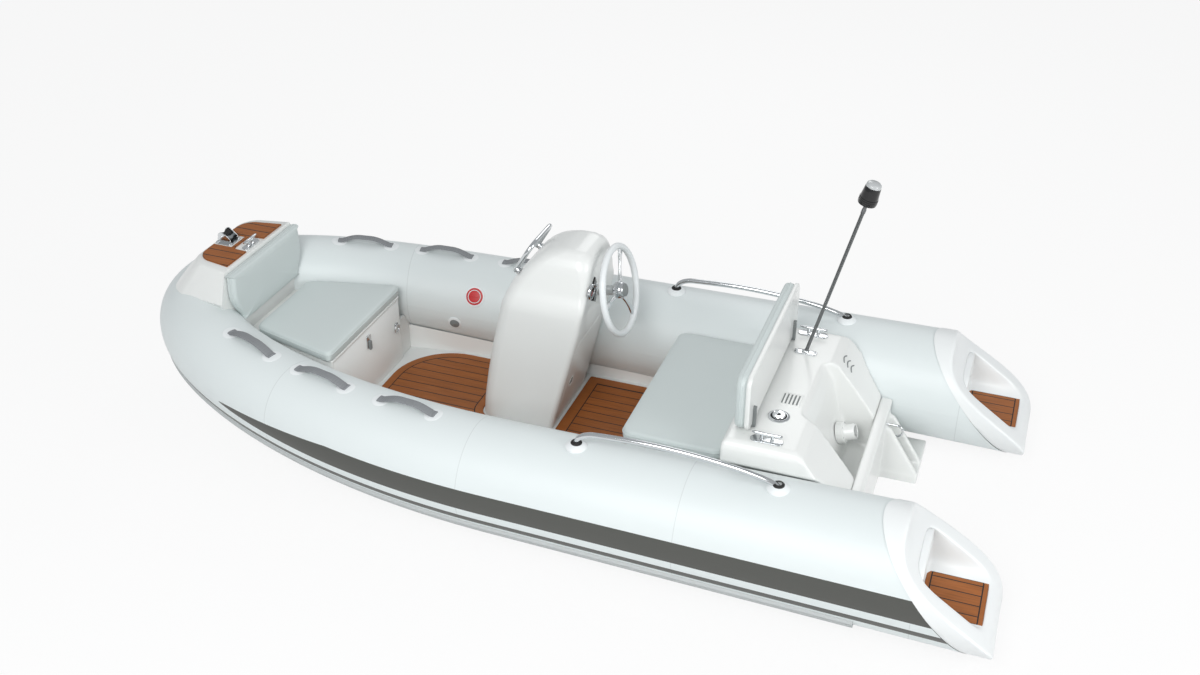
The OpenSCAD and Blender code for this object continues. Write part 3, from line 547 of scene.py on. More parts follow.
SLOTS = {
    "fabric": "collar_fabric", "strake": "strake_rubber", "cone": "cone_plastic", "teak": "teak",
    "steel": "polished_steel", "gelcoat": "gelcoat", "patch": "gelcoat", "webbing": "handle_webbing",
    "red": "valve_plastic", "vinyl": "cushion_vinyl", "caulk": "roller_rubber", "black": "black_plastic",
    "grey": "black_plastic", "rim": "wheel_rim", "pole": "pole_metal",
}
_made = {}


def look(key):
    """The material of that name, made once."""
    if key not in _made:
        _made[key] = LOOKS[key]()
    return _made[key]


# Pieces
DECK_Z, CONSOLE_Y, STERN_Z, STEP_Z = 50.4, -185, 500, 670.3


FIRST_X = -75


def collar_stations(side, first):
    """Place along X, axis point, outward normal and radius from the straight run to the bow."""
    straight, bow = 40, 84
    xs = [mix(first, BEND_X, i / straight) for i in range(straight)]
    xs += [BEND_X + (BOW_X - BEND_X) * sin(pi / 2 * i / bow) ** (2 / BOW_POWER) for i in range(bow + 1)]
    for i, x in enumerate(xs[:-1]):
        a, b = xs[max(0, i - 1)], xs[i + 1]
        ahead = Vector((b - a, side * (axis_y(b) - axis_y(a)), 0)).normalized()
        centre, _, _, r = station(min(x, BOW_X - 0.5), side)
        yield x, centre, Vector((-side * ahead.y, side * ahead.x, 0)), r
    yield BOW_X, Vector((BOW_X, 0, axis_z(BOW_X))), Vector((1, 0, 0)), radius_at(BOW_X)


class RIB_OT_collar(Operator):
    """Builds both air tubes of the collar with their bands"""
    bl_idname = "rib.collar"
    bl_label = "Collar"

    def execute(self, context):
        sides, lead = 88, 8
        angles = [-180 + 360 * j / sides for j in range(sides + 1)]
        for side, word in SIDES:
            shape = Shape()
            around = shape.bm.verts.layers.float.new("around")
            along = shape.bm.verts.layers.float.new("along")
            r = radius_at(FIRST_X)
            rings = []
            for k in range(lead):
                xs = [mix(seam_x(TUBE_H + r * sin(radians(a))), FIRST_X, k / lead) for a in angles]
                rings.append([(on_tube(x, a, 0.0, side), a, x) for x, a in zip(xs, angles)])
            for x, centre, out, r in collar_stations(side, FIRST_X):
                rings.append([(centre + r * ray(a, out), a, x) for a in angles])
            shape.loft([[p for p, _, _ in ring] for ring in rings], closed=False)
            for v, (_, a, x) in zip(shape.bm.verts, (mark for ring in rings for mark in ring)):
                v[around], v[along] = a, x
            shape.done("collar_" + word, "fabric", ["tube_" + word, "tube_cuff_" + word], sharp=60,
                       weld=False)
        return {"FINISHED"}


class RIB_OT_strakes(Operator):
    """Builds the rubbing strakes, a ribbed profile along the collar"""
    bl_idname = "rib.strakes"
    bl_label = "Rubbing strakes"

    def execute(self, context):
        centre_angle, half_angle, lift, gap = -38, 8.2, 11.5, 0.3
        profile = [(-1, 0), (-0.92, 0.6), (-0.7, 1), (-0.42, 1), (-0.3, 0.7), (-0.18, 0.7), (0, 1), (0.3, 1),
                   (0.42, 0.7), (0.54, 0.7), (0.66, 0.95), (0.86, 0.9), (1, 0)]
        for side, word in SIDES:
            rings = [[centre + (r + gap + lift * q) * ray(centre_angle + half_angle * p, out) for p,
                      q in profile]
                     for _, centre, out, r in collar_stations(side, FIRST_X + 1)]
            Shape().loft(rings, caps=(True, True)).done("rubbing_strake_" + word, "strake",
                                                        ["strake_" + word],
                                                        sharp=35)
        return {"FINISHED"}


def pocket_outline(n, grow=0.0):
    """Mouth of the step pocket in YZ about the tube's axis, by angle."""
    half_w, half_h, rise = 150 + grow, 93 + grow, 14
    return [(half_w * copysign(abs(c) ** 0.42, c), rise + half_h * copysign(abs(s) ** 0.5, s))
            for c, s in circle(n)]


class RIB_OT_cones(Operator):
    """Builds the stern cones with their curved cut and step pocket"""
    bl_idname = "rib.cones"
    bl_label = "Stern cones"

    def execute(self, context):
        n, edge, lip, back, rise = 120, 12, 11, -270, 14
        pocket = pocket_outline(n)

        def disc(r):
            return [(c * r, s * r) for c, s in circle(n)]

        # Each ring is an outline and the X of its points by their height
        rings = [(disc(CONE_R - (0 if t else 2)), lambda z, t=t: mix(seam_x(z), cut_x(z) + edge, t))
                 for t in (0, 0.02, 0.25, 0.5, 0.75, 0.95)]
        for i in range(1, 7):
            a = pi / 2 * i / 6
            rings.append((disc(CONE_R - 13 * (1 - cos(a))),
                          lambda z, a=a: cut_x(z) + edge - edge * sin(a)))
        for t in (0.3, 0.7):
            face = [(mix(p, u, t), mix(q, v, t)) for (p, q), (u, v) in zip(disc(214), pocket_outline(n, 10))]
            rings.append((face, cut_x))
        for grow, depth in ((10, 0), (6, 1.5), (2, 5), (0, lip)):
            rings.append((pocket_outline(n, grow), lambda z, d=depth: cut_x(z) + d))
        for t in (0.35, 0.7, 0.92):
            rings.append((pocket, lambda z, t=t: mix(cut_x(z) + lip, back, t)))
        for shrink, x in ((0.97, back - 4), (0.9, back), (0.5, back + 1), (0.02, back + 1)):
            rings.append(([(y * shrink, rise + (z - rise) * shrink) for y, z in pocket], lambda z, x=x: x))
        for side, word in SIDES:
            skin = [[Vector((place(TUBE_H + z), side * (TUBE_Y + y), TUBE_H + z)) for y, z in points]
                    for points, place in rings]
            Shape().loft(skin, caps=(False, True)).done("stern_cone_" + word, "cone", ["cone_" + word],
                                                        sharp=50)
        return {"FINISHED"}


def inset(outline, d):
    """Outline moved inwards by d; edges that would turn round are dropped."""
    pts = [Vector(p) for p in outline]
    if sum(p.cross(q) for p, q in zip(pts, pts[1:] + pts[:1])) < 0:
        pts.reverse()
    edges = [(p, (q - p).normalized()) for p, q in zip(pts, pts[1:] + pts[:1]) if (q - p).length > 0.01]
    while True:
        lines = [(p + d * Vector((-t.y, t.x)), t) for p, t in edges]
        out = []
        for (p, t), (q, u) in zip(lines[-1:] + lines[:-1], lines):
            turn = t.cross(u)
            out.append(q if abs(turn) < 1e-4 else p + t * ((q - p).cross(u) / turn))
        spans = [(b - a).dot(t) for a, b, (_, t) in zip(out, out[1:] + out[:1], lines)]
        worst = min(range(len(spans)), key=spans.__getitem__)
        if spans[worst] >= 0 or len(edges) < 5:
            return [tuple(p) for p in out]
        del edges[worst]


def planked_pad(name, outline, z, node, thickness=6.0, margin=44.0):
    """Teak pad: a margin plank, a caulk line and planks inside."""
    edge, caulk = 1.2, 4.5
    planks, border, line = 0, 1, 2
    layers = ((edge, border), (margin, line), (margin + caulk, planks)) if margin else ((edge, planks),)
    top = z + thickness
    rim = inset(outline, 0)
    shape = Shape().loft([level(rim, z), level(rim, top - 1)], caps=(True, False), mat=border)
    for k, (d, mat) in enumerate(layers):
        layer = inset(outline, d)
        low = top - 0.5 if k else top - 1.4
        shape.loft([level(layer, low), level(layer, top - 0.3 + 0.12 * k)], caps=(False, True), mat=mat)
    shape.bm.normal_update()
    bmesh.ops.triangulate(shape.bm, faces=[f for f in shape.bm.faces if len(f.verts) > 4])
    shape.done(name, "teak margin caulk", [node], sharp=30)


class RIB_OT_teak(Operator):
    """Builds the teak pads of the deck, the cones and the bow step"""
    bl_idname = "rib.teak"
    bl_label = "Teak pads"

    def execute(self, context):
        planked_pad("teak_pad_aft", round_rect(912, -424, 1316, 424, 8), DECK_Z, "teak_aft", margin=46)
        half, gap_r, front_r = 137, 70, 260
        front = arc(1890, 140, front_r, 90, 0, 12) + arc(1890, -140, front_r, 0, -90, 12)
        outline = ([(1592, 400)] + front + [(1672, -400), (1664, -372)]
                   + arc(1593, CONSOLE_Y - half, gap_r, -34, 0) + arc(1593, CONSOLE_Y + half, gap_r, 0, 90)
                   + [(1592, CONSOLE_Y + half + gap_r)])
        outline = [p for i, p in enumerate(outline) if dist(p, outline[i - 1]) > 0.5]
        planked_pad("teak_pad_forward", outline[::-1], DECK_Z, "teak_forward", margin=34)
        step = ([(2676, -206), (2676, -66), (2732, -62), (2742, -50), (2742, 50), (2732, 62), (2676, 66),
                 (2676, 206)]
                + arc(2768, 112, 76, 78, 0, 10) + [(2844, 54), (2757, 54), (2757, -54), (2844, -54)]
                + arc(2768, -112, 76, 0, -78, 10))
        planked_pad("teak_pad_step", step, 670.4, "bow_step_teak", margin=0)
        for side, word in SIDES:
            y = side * TUBE_Y
            planked_pad("teak_pad_cone_" + word, round_rect(-484, y - 126, -274, y + 126, 24), 170.4,
                        "cone_teak_" + word, margin=16)
        return {"FINISHED"}


RAIL_FEET = FRONT_FOOT, REAR_FOOT = 987, 250


def rail_line(side):
    """Centreline of a side grab rail."""
    def run(foot, bends):
        return [(foot + x, side * TUBE_Y, TUBE_H + radius_at(foot) + z) for x, z in bends]
    return smooth_path(run(FRONT_FOOT, [(0, 6), (-2, 22), (-14, 42), (-42, 58), (-90, 66)])
                       + run(REAR_FOOT, [(470, 66), (300, 61), (150, 46), (60, 29), (20, 17), (0, 6)]), 8)


class RIB_OT_rails(Operator):
    """Builds the side grab rails and the pads under their ends"""
    bl_idname = "rib.rails"
    bl_label = "Grab rails"

    def execute(self, context):
        bar_r, top_z, pad_h = sizes().rail_diameter / MM / 2, 546.6 - 11, 15
        pads = Shape()
        for side, word in SIDES:
            line = [(x, y, min(z, top_z)) for x, y, z in rail_line(side)]
            Shape().tube(line, bar_r - 0.5, 20).done("grab_rail_" + word, "steel", ["rail_" + word])
            for foot in RAIL_FEET:
                crown = radius_at(foot)

                def point(radius, z, c, s):
                    """Point of the pad, whose low part follows the tube."""
                    drop = sqrt(crown ** 2 - (radius * s) ** 2) - crown
                    return Vector((foot + radius * c, side * TUBE_Y + radius * s,
                                   TUBE_H + crown + z + drop * clamp(1 - z / pad_h)))
                for mat, profile in enumerate((
                        [(40, -3), (41, 2), (38, 6), (30, 10), (24, 14), (20, 15), (0, 15)],
                        [(20, 12), (21, 17), (18, 21), (13, 23), (11, 22)])):
                    pads.loft([[point(r, z, c, s) for c, s in circle(48)] for r, z in profile], mat=mat)
        pads.done("rail_pads_all", "patch caulk", ["rail_pads"])
        return {"FINISHED"}


class RIB_OT_handles(Operator):
    """Builds the carry handles on the crown of the collar"""
    bl_idname = "rib.handles"
    bl_label = "Carry handles"

    def execute(self, context):
        section = ((-1, 0), (-1, 0.5), (-0.8, 1), (-0.3, 1.15), (0.3, 1.15), (0.8, 1), (1, 0.5), (1, 0))
        steps, reach, rise, strap, patch = 48, 122, 24, 5, 12
        for side, word in SIDES:
            shape = Shape()
            along = shape.bm.verts.layers.float.new("along")
            for centre in (1670, 2055, 2420):
                first = len(shape.bm.verts)
                slope = cos(atan2(axis_y(centre - 5) - axis_y(centre + 5), 10))
                rings = []
                for i in range(steps + 1):
                    u = -reach + 2 * reach * i / steps
                    t = clamp(1 - abs(u) / 108)
                    lift = rise * sin(pi / 2 * min(1, t * 1.25))
                    half = 19 - 3 * sin(pi / 2 * t)
                    x = centre + u * slope
                    rings.append([on_tube(x, 90 + degrees(v * half / radius_at(x)), 1.5 + lift + strap * w,
                                          side) for v, w in section])
                shape.loft(rings, caps=(True, True))
                shape.bm.verts.ensure_lookup_table()
                for k in range(first, len(shape.bm.verts)):
                    shape.bm.verts[k][along] = (k - first) // len(section) * 5.0
                for middle in (centre - 112, centre + 112):
                    grid = []
                    for i in range(patch + 1):
                        row = []
                        for j in range(patch + 1):
                            a, b = 2 * i / patch - 1, 2 * j / patch - 1
                            p, q = a * sqrt(1 - b * b / 2), b * sqrt(1 - a * a / 2)
                            thick = 1.6 if max(abs(a), abs(b)) < 0.99 else 0
                            row.append(on_tube(middle + p * 34, 90 + degrees(q * 40 / radius_at(middle)),
                                               0.2 + thick, side))
                        grid.append(row)
                    shape.loft(grid, closed=False, mat=1)
            shape.done("carry_handles_" + word, "webbing patch", ["handles_" + word], sharp=50)
        return {"FINISHED"}


def tube_place(x, angle, off, side):
    """Frame on the tube's skin with Z pointing outwards."""
    _, out, ahead, _ = station(x, side)
    return frame_at(on_tube(x, angle, off, side), ray(angle, out), ahead)


class RIB_OT_valves(Operator):
    """Builds the inflation valve and the relief valve inside the starboard tube"""
    bl_idname = "rib.valves"
    bl_label = "Valves"

    def execute(self, context):
        red = tube_place(1873, 150, 0.0, STARBOARD)
        grey = tube_place(1972, 194, 0.0, STARBOARD)
        shape = Shape()
        shape.lathe([(46, -4), (46, 1.5), (43, 3.5), (38, 4)], red, mat=1)
        shape.lathe([(38, 2), (38, 6), (34, 8), (31, 8), (30, 5.5), (27, 5.5), (26, 9), (20, 10), (0, 10)],
                    red)
        shape.lathe([(30, 8.2), (28.5, 8.6), (27, 8.2)], red, mat=1)
        shape.slab(round_rect(-18, -4, 18, 4, 3.5), 9, 12.5, 1.5, red)
        shape.lathe([(31, -3), (31, 1), (28, 3), (22, 4)], grey, mat=1)
        shape.lathe([(22, 2), (22, 6), (19, 7.5), (9, 7), (7, 8.5), (0, 8.5)], grey, mat=2)
        shape.done("valves", "red patch grey", ["tube_valves"])
        return {"FINISHED"}


class RIB_OT_hull(Operator):
    """Dresses the hull and builds the transom, the deck and the bow locker"""
    bl_idname = "rib.hull"
    bl_label = "Hull and deck"

    def execute(self, context):
        dressed("hull_bottom", "gelcoat")
        dressed("deck_liner", "deck")
        walls = ((0, DECK_Z), (0, 355.5), (1.5, 357.6), (9, 357.6), (10, 356), (10, 62))
        rings = [level(locker_outline(2174 + g, 2612 - g, -g, 16), z) for g, z in walls]
        Shape().loft(rings, caps=(False, True)).done("bow_locker_box", "gelcoat", ["bow_locker"], sharp=38)
        softened("transom_moulding", "transom", "gelcoat", voxel=5.5, rounds=6)
        return {"FINISHED"}


def locker_y(x):
    return 292 - (x - 2170) * 0.245


def locker_outline(x0, x1, grow=0.0, r=26):
    """Plan of the bow seat, narrowing forward."""
    w0, w1 = locker_y(x0) + grow, locker_y(x1) + grow
    corners = [Vector(p) for p in ((x0, -w0), (x0, w0), (x1, w1), (x1, -w1))]
    out = []
    for i, p in enumerate(corners):
        a, b = corners[i - 1], corners[(i + 1) % 4]
        start, end = p + (a - p).normalized() * r, p + (b - p).normalized() * r
        for k in range(7):
            t = k / 6
            out.append(tuple(start * (1 - t) ** 2 + 2 * p * t * (1 - t) + end * t ** 2))
    return out[::-1]


def cushion(name, node, body, outline, low, high, edge, puff, place=Matrix(), welt=None, welt_z=0,
            welt_r=2.4):
    """Padded cushion with a welt along its edge."""
    shape = Shape().slab(outline, low, high, edge, place, puff=puff)
    shape.tube([place @ p for p in level(welt or outline, welt_z)], welt_r, 8, closed=True)
    shape.done(name, "vinyl", [node], body)


class RIB_OT_bow_seat(Operator):
    """Builds the bow seat's lid and cushion and the bow backrest"""
    bl_idname = "rib.bow_seat"
    bl_label = "Bow seat"

    def execute(self, context):
        lid = Shape().slab(locker_outline(2172, 2579, 0, 14), 358, 370, 3)
        lid.tube([(2585, -140, 363), (2585, 140, 363)], 4.8, 12)
        lid.done("bow_seat_lid", "gelcoat", ["bow_lid"], "lid")
        cushion("bow_seat_cushion", "bow_cushion", "lid", locker_outline(2172, 2577, 16, 34), 370.5, 417, 16,
                5,
                welt=locker_outline(2172, 2577, 15, 34), welt_z=402, welt_r=2.6)
        ledge = Shape().slab([(2595, -238), (2664, -204), (2664, 204), (2595, 238)], 335, 364, 2)
        ledge.slab([(2640, -214), (2664, -200), (2664, 200), (2640, 214)], 360, 440, 6)
        ledge.done("bow_seat_ledge", "gelcoat")
        outline = [(432, -184), (432, 184), (452, 205), (540, 250), (632, 249), (652, 240), (656, 220),
                   (656, -220),
                   (652, -240), (632, -249), (540, -250), (452, -205)]
        place = Matrix.Translation((2661.5, 0, 0)) @ Matrix.Rotation(radians(-90), 4, "Y")
        cushion("bow_backrest_cushion", "bow_backrest", "boat", smooth_outline(outline, 5), 0.5, 42, 15, 5,
                place,
                welt_z=24, welt_r=2.6)
        return {"FINISHED"}


def step_outline(hw, x0, x1, r):
    return [(x0, -hw), (x0, hw)] + arc(x1 - r, hw - r - 22, r, 72, 0, 12) + arc(x1 - r, r + 22 - hw, r, 0,
                                                                                -72, 12)


class RIB_OT_bow_step(Operator):
    """Builds the moulded bow step with its fairlead and roller"""
    bl_idname = "rib.bow_step"
    bl_label = "Bow step"

    def execute(self, context):
        levels = [(410, 240, 2822, 60), (540, 300, 2965, 130), (560, 292, 2950, 128), (590, 280, 2926, 120),
                  (620, 268, 2900, 110), (645, 258, 2878, 100), (657, 253, 2866, 97), (664, 250, 2860, 95),
                  (668, 246, 2855, 92), (670, 241, 2850, 90)]
        rings = [level(step_outline(hw, 2665 if z > 666 else 2662, x1, r), z) for z, hw, x1, r in levels]
        Shape().loft(rings, caps=(True, True)).done("bow_step_moulding", "gelcoat", ["bow_step"], sharp=38)
        x, z = 2818, 700
        lead = Shape()
        lead.slab(round_rect(x - 49, -41, x + 33, 41, 16), 670.5, 674, 1.5)
        for s in (-1, 1):
            cheek = ([(x - 42, 673), (x + 22, 673), (x + 23, 690)] + arc(x, z, 20, -10, 100)
                     + [(x - 24, 704), (x - 40, 690)])
            flip = Matrix.Translation((0, s * 26.4 + 2.4, 0)) @ Matrix.Rotation(radians(90), 4, "X")
            lead.slab(cheek, 0, 4.8, 1.2, flip)
        for bx in (x - 38, x + 22):
            for by in (-32, 32):
                lead.lathe([(5, 0), (5, 1.5), (3, 3), (0, 3)], Matrix.Translation((bx, by, 674)), 16)
        lead.done("bow_fairlead_frame", "steel", ["bow_fairlead"])
        turn = frame_at((x, 0, z), (0, 1, 0))
        roll = Shape()
        roll.lathe([(5, -22), (15, -22), (17, -20), (15, -14), (12, -8), (11, 0), (12, 8), (15, 14), (17, 20),
                    (15, 22), (5, 22)], turn)
        roll.lathe([(0, -31), (4, -31), (4.9, -30), (4.9, 30), (4, 31), (0, 31)], turn, 24, 1)
        roll.done("bow_roller_turning", "caulk steel", ["bow_roller"], "roller")
        return {"FINISHED"}


def cleat(shape, place, size):
    """Mooring cleat: plate, two feet and a waisted horn bar."""
    w = size * 0.34
    shape.slab(round_rect(-size / 2, -w / 2, size / 2, w / 2, w / 2 - 0.5), 0.2, 4, 1.5, place)
    for s in (-1, 1):
        foot = place @ Matrix.Translation((s * size * 0.16, 0, 0))
        shape.lathe([(9, 3), (7, 6), (5.4, 12), (5.2, 20), (6, 27)], foot, 20)
    line, radii = [], []
    for i in range(25):
        t = -1 + i / 12
        line.append(place @ Vector((t * size * 0.46, 0, 27.5 + 1.5 * abs(t))))
        radii.append(6.2 * sqrt(max(0.02, 1 - (0.92 * abs(t)) ** 4)))
    shape.tube(line, radii, 16)


class RIB_OT_deck_fittings(Operator):
    """Builds the cleats, lashing rings and latch, and the transom's eyes"""
    bl_idname = "rib.deck_fittings"
    bl_label = "Deck fittings"

    def execute(self, context):
        bow, stern, locker, eyes = Shape(), Shape(), Shape(), Shape()
        cleat(bow, frame_at((2698, 0, STEP_Z), (0, 0, 1), (0, 1, 0)), 100)
        bow.done("mooring_cleat_bow", "steel", ["bow_cleat"])
        panel = facing_aft(2173.7)
        for side in (-1, 1):
            cleat(stern, Matrix.Translation((346, side * 385, STERN_Z + 0.3)), 120)
            y = side * 240
            locker.tube([(2168.5, y + 19 * c, 229 + 19 * s) for c, s in circle(32)], 2.6, 10, closed=True)
            locker.slab(round_rect(y - 13, 235, y + 13, 257, 5), 0, 3.6, 1, panel)
            bend = [(-20, 230)] + [(x, z) for z, x in arc(205, -42, 25, 0, -180, 12)] + [(-20, 180)]
            eyes.tube([(x, side * 260, z) for x, z in [(20, 230)] + bend + [(20, 180)]], 4.9, 14)
        stern.done("mooring_cleats_stern", "steel", ["stern_cleats"])
        locker.slab(round_rect(-16, 270, 16, 332, 6), 0, 6, 2, panel)
        locker.slab(round_rect(-8, 262, 8, 306, 5), 5, 14, 3, panel, 1)
        locker.done("locker_latch_rings", "steel grey", ["locker_fittings"])
        eyes.done("towing_eyes", "steel", ["transom_eyes"])
        return {"FINISHED"}


CONSOLE_AFT = [(50, 1330), (208, 1290), (365, 1250), (507, 1214), (570, 1202), (640, 1188), (730, 1178),
               (800, 1181), (834, 1190), (848, 1204), (853, 1226), (856, 1262)]
CONSOLE_FRONT = [(50, 1655), (130, 1648), (260, 1628), (400, 1600), (520, 1574), (620, 1548), (700, 1512),
                 (770, 1460), (828, 1398), (845, 1355), (852, 1325), (856, 1290)]
CONSOLE_HALF = [(50, 199), (610, 198), (650, 190), (690, 166), (740, 155), (800, 144), (842, 118), (852, 100),
                (856, 78)]


def lookup(table, z):
    for (z0, v0), (z1, v1) in zip(table, table[1:]):
        if z <= z1:
            return mix(v0, v1, clamp((z - z0) / (z1 - z0)))
    return table[-1][1]


def eased(table, z, reach=14):
    """Value at z averaged over its surroundings, which rounds the profile's corners."""
    low, high = table[0][0], table[-1][0]
    reach = min(reach, z - low, high - z)
    return sum(lookup(table, z + reach * k / 3) for k in range(-3, 4)) / 7


class RIB_OT_console(Operator):
    """Builds the steering console with its locker opening and door"""
    bl_idname = "rib.console"
    bl_label = "Console"

    def execute(self, context):
        y = CONSOLE_Y
        levels = [50, 54] + [50 + i * 14 for i in range(1, 55)] + [826, 834, 841, 847, 851, 854, 855.6]
        rings = []
        for z in levels:
            aft, front, half = (eased(t, z) for t in (CONSOLE_AFT, CONSOLE_FRONT, CONSOLE_HALF))
            r_front = min(62, (front - aft) * 0.4, half * 0.7)
            r_aft = 22 if z < 640 else mix(22, 50, clamp((z - 640) / 160))
            r_aft = min(r_aft, (front - aft) * 0.3, half * 0.6)
            ring = (arc(front - r_front, y - half + r_front, r_front, -90, 0, 10)
                    + arc(front - r_front, y + half - r_front, r_front, 0, 90, 10)
                    + arc(aft + r_aft, y + half - r_aft, r_aft, 90, 180, 8)
                    + arc(aft + r_aft, y - half + r_aft, r_aft, 180, 270, 8))
            rings.append(level(ring, z))
        pod = Shape().loft(rings, caps=(True, True)).done("console_pod", "gelcoat", ["console"], sharp=60)
        place, half, height, gap = door_place(), 160, 400, 4
        opening = round_rect(-half - gap, -gap, half + gap, height + gap, 40)
        # The cutter carries black rubber for the walls of the cut: a dark seam round the door and painted
        # shade in the hollow behind it.
        cutter = Shape().slab(opening, -230, 40, 0.5, place).done("cutter", "caulk")
        cut = pod.modifiers.new("Opening", "BOOLEAN")
        cut.operation = "DIFFERENCE"
        cut.solver = "EXACT"
        cut.object = cutter
        graph = bpy.context.evaluated_depsgraph_get()
        opened = bpy.data.meshes.new_from_object(pod.evaluated_get(graph))
        pod.modifiers.clear()
        pod.data = opened
        opened.set_sharp_from_angle(angle=radians(38))
        bpy.data.objects.remove(cutter)
        door = Shape().slab(round_rect(-half, 0, half, height, 38), -15, -1, 4, place)
        door.lathe([(27, -1), (27, 0.2), (24, 0.6), (22, -2), (0, -2.4)],
                   place @ Matrix.Translation((-92, 175, 0)))
        door.slab(round_rect(-106, 160, -78, 190, 8), -2.4, 0.2, 1.5, place, 1)
        door.done("console_hatch_door", "gelcoat grey", ["console_door"], "door")
        return {"FINISHED"}


def door_place():
    """Frame of the console's aft face: X to starboard, Y up the face, Z out of it."""
    up = lean_up(14.25)
    out = Vector((-up.z, 0, up.x))
    return frame_at((1322, CONSOLE_Y, 76), out, up.cross(out))


class RIB_OT_console_rail(Operator):
    """Builds the arched hand rail on the console's front"""
    bl_idname = "rib.console_rail"
    bl_label = "Console hand rail"

    def execute(self, context):
        half, rise, bend = 112, 130, 46
        up = lean_up(31)
        start = Vector((1498.8, CONSOLE_Y, 744.6))
        line = ([(half, -14), (half, 0), (half, 40)] + arc(half - bend, rise - bend, bend, 0, 90)
                + arc(bend - half, rise - bend, bend, 90, 180) + [(-half, 40), (-half, 0), (-half, -14)])
        shape = Shape().tube([start + Vector((0, p, 0)) + up * q for p, q in line], 9.6, 18)
        for y in (CONSOLE_Y - half, CONSOLE_Y + half):
            shape.lathe([(16, 0.3), (16, 3), (12, 6), (11, 16), (9, 22)],
                        frame_at((1486, y, 735), (0.8, 0, 0.6)), 28)
        shape.done("console_hand_rail", "steel", ["console_rail"])
        return {"FINISHED"}


class RIB_OT_dash(Operator):
    """Builds the gauge and the curved switch panel"""
    bl_idname = "rib.dash"
    bl_label = "Dash instruments"

    def execute(self, context):
        shape = Shape()
        gauge = frame_at((1176.5, -63, 706), (-0.99, 0, -0.06), (0, 1, 0))
        shape.lathe([(32, -6), (33, 1), (31, 5), (28, 6), (27, 3)], gauge, 48, 1)
        shape.lathe([(27.4, 1), (26, 3.4), (0, 3.6)], gauge, 48, 0)
        for i in range(9):
            turn = gauge @ Matrix.Rotation(radians(-120 + 30 * i), 4, "Z")
            shape.slab(round_rect(17, -0.7, 23, 0.7, 0.5), 3.4, 4, 0.1, turn, 1)
        shape.slab(round_rect(-3, -1, 18, 1, 0.9), 4, 4.8, 0.2, gauge @ Matrix.Rotation(0.9, 4, "Z"), 2)
        panel = arc(88, 0, 100, 146, 214, 14) + arc(88, 0, 72, 214, 146, 14)
        face = facing_aft(1183, -106, 697)
        shape.slab(panel, -6, 10, 2, face)
        for i in range(3):
            shape.slab(round_rect(-9, -24 + 18 * i, 6, -12 + 18 * i, 2), 9, 12.5, 1, face, 1)
        shape.done("dash_gauge_panel", "black steel red", ["dash_instruments"])
        return {"FINISHED"}


class RIB_OT_wheel(Operator):
    """Builds the steering wheel: soft rim, three spokes and a hub on its column"""
    bl_idname = "rib.wheel"
    bl_label = "Steering wheel"

    def execute(self, context):
        forward = lean_up(-12)
        place = frame_at((1101, CONSOLE_Y, 664), (-forward.z, 0, forward.x), forward)
        rim_r = sizes().wheel_radius / MM - 14
        steps, grips = 120, 24
        rings = []
        for i, (ca, sa) in enumerate(circle(steps)):
            finger = 0.6 * cos(2 * pi * grips * i / steps)
            rings.append([place @ Vector(((rim_r + 13.6 * cb) * ca, (rim_r + 13.6 * cb) * sa,
                                          (13.4 + (finger if sb < 0 else 0)) * sb)) for cb, sb in circle(24)])
        Shape().loft(rings + [rings[0]]).done("wheel_rim", "rim", ["steering_wheel"], "wheel")
        hub = Shape()
        hub.lathe([(0, -118), (19, -118), (20, -116), (20, -30), (26, -20), (34, -14), (34, 10), (30, 18),
                   (26, 21)],
                  place, 48)
        hub.lathe([(26.4, 20), (26, 25), (22, 28), (0, 28.5)], place, 48, 1)
        for angle in (90, 210, 330):
            turn = place @ Matrix.Rotation(radians(angle), 4, "Z")
            blade = [(24, -15), (60, -10), (110, -8.5), (rim_r - 4, -15)]
            blade += [(x, -y) for x, y in reversed(blade)]
            hub.slab(smooth_outline(blade, 4), -4, 4, 2.5, turn)
        hub.done("wheel_hub_spokes", "steel grey", ["steering_hub"], "wheel")
        return {"FINISHED"}


class RIB_OT_aft_seat(Operator):
    """Builds the aft seat's box and cushion and the folding backrest"""
    bl_idname = "rib.aft_seat"
    bl_label = "Aft seat"

    def execute(self, context):
        box = Shape().slab(round_rect(504, -366, 884, 366, 24), DECK_Z, 359, 3)
        box.done("aft_seat_box", "gelcoat", ["seat_box"])
        cushion("aft_seat_cushion", "seat_cushion", "boat", round_rect(506, -382, 898, 382, 40, 10), 360.4,
                407, 18,
                5, welt_z=390)
        upright = Matrix(((0, 0, 1, 0), (1, 0, 0, 0), (0, 1, 0, 0), (0, 0, 0, 1)))
        back = Shape().slab(round_rect(-386, 516, 386, 734, 34, 10), 416, 434, 8, upright)
        for y in (-317, 317):
            back.slab(round_rect(y - 8, 501, y + 8, 590, 6), 405, 428, 2, upright, 1)
            back.tube([(470, y - 12, 512), (470, y + 12, 512)], 5.3, 16, 1)
            back.slab(round_rect(y - 12, 509, y + 12, 514, 2), 426, 470, 0.6, upright, 1)
        back.done("backrest_board", "gelcoat grey", ["backrest_shell"], "backrest")
        cushion("backrest_pad", "backrest_cushion", "backrest", round_rect(-384, 517, 384, 732, 38, 10), 434,
                471,
                15, 4, upright, welt_z=452)
        return {"FINISHED"}


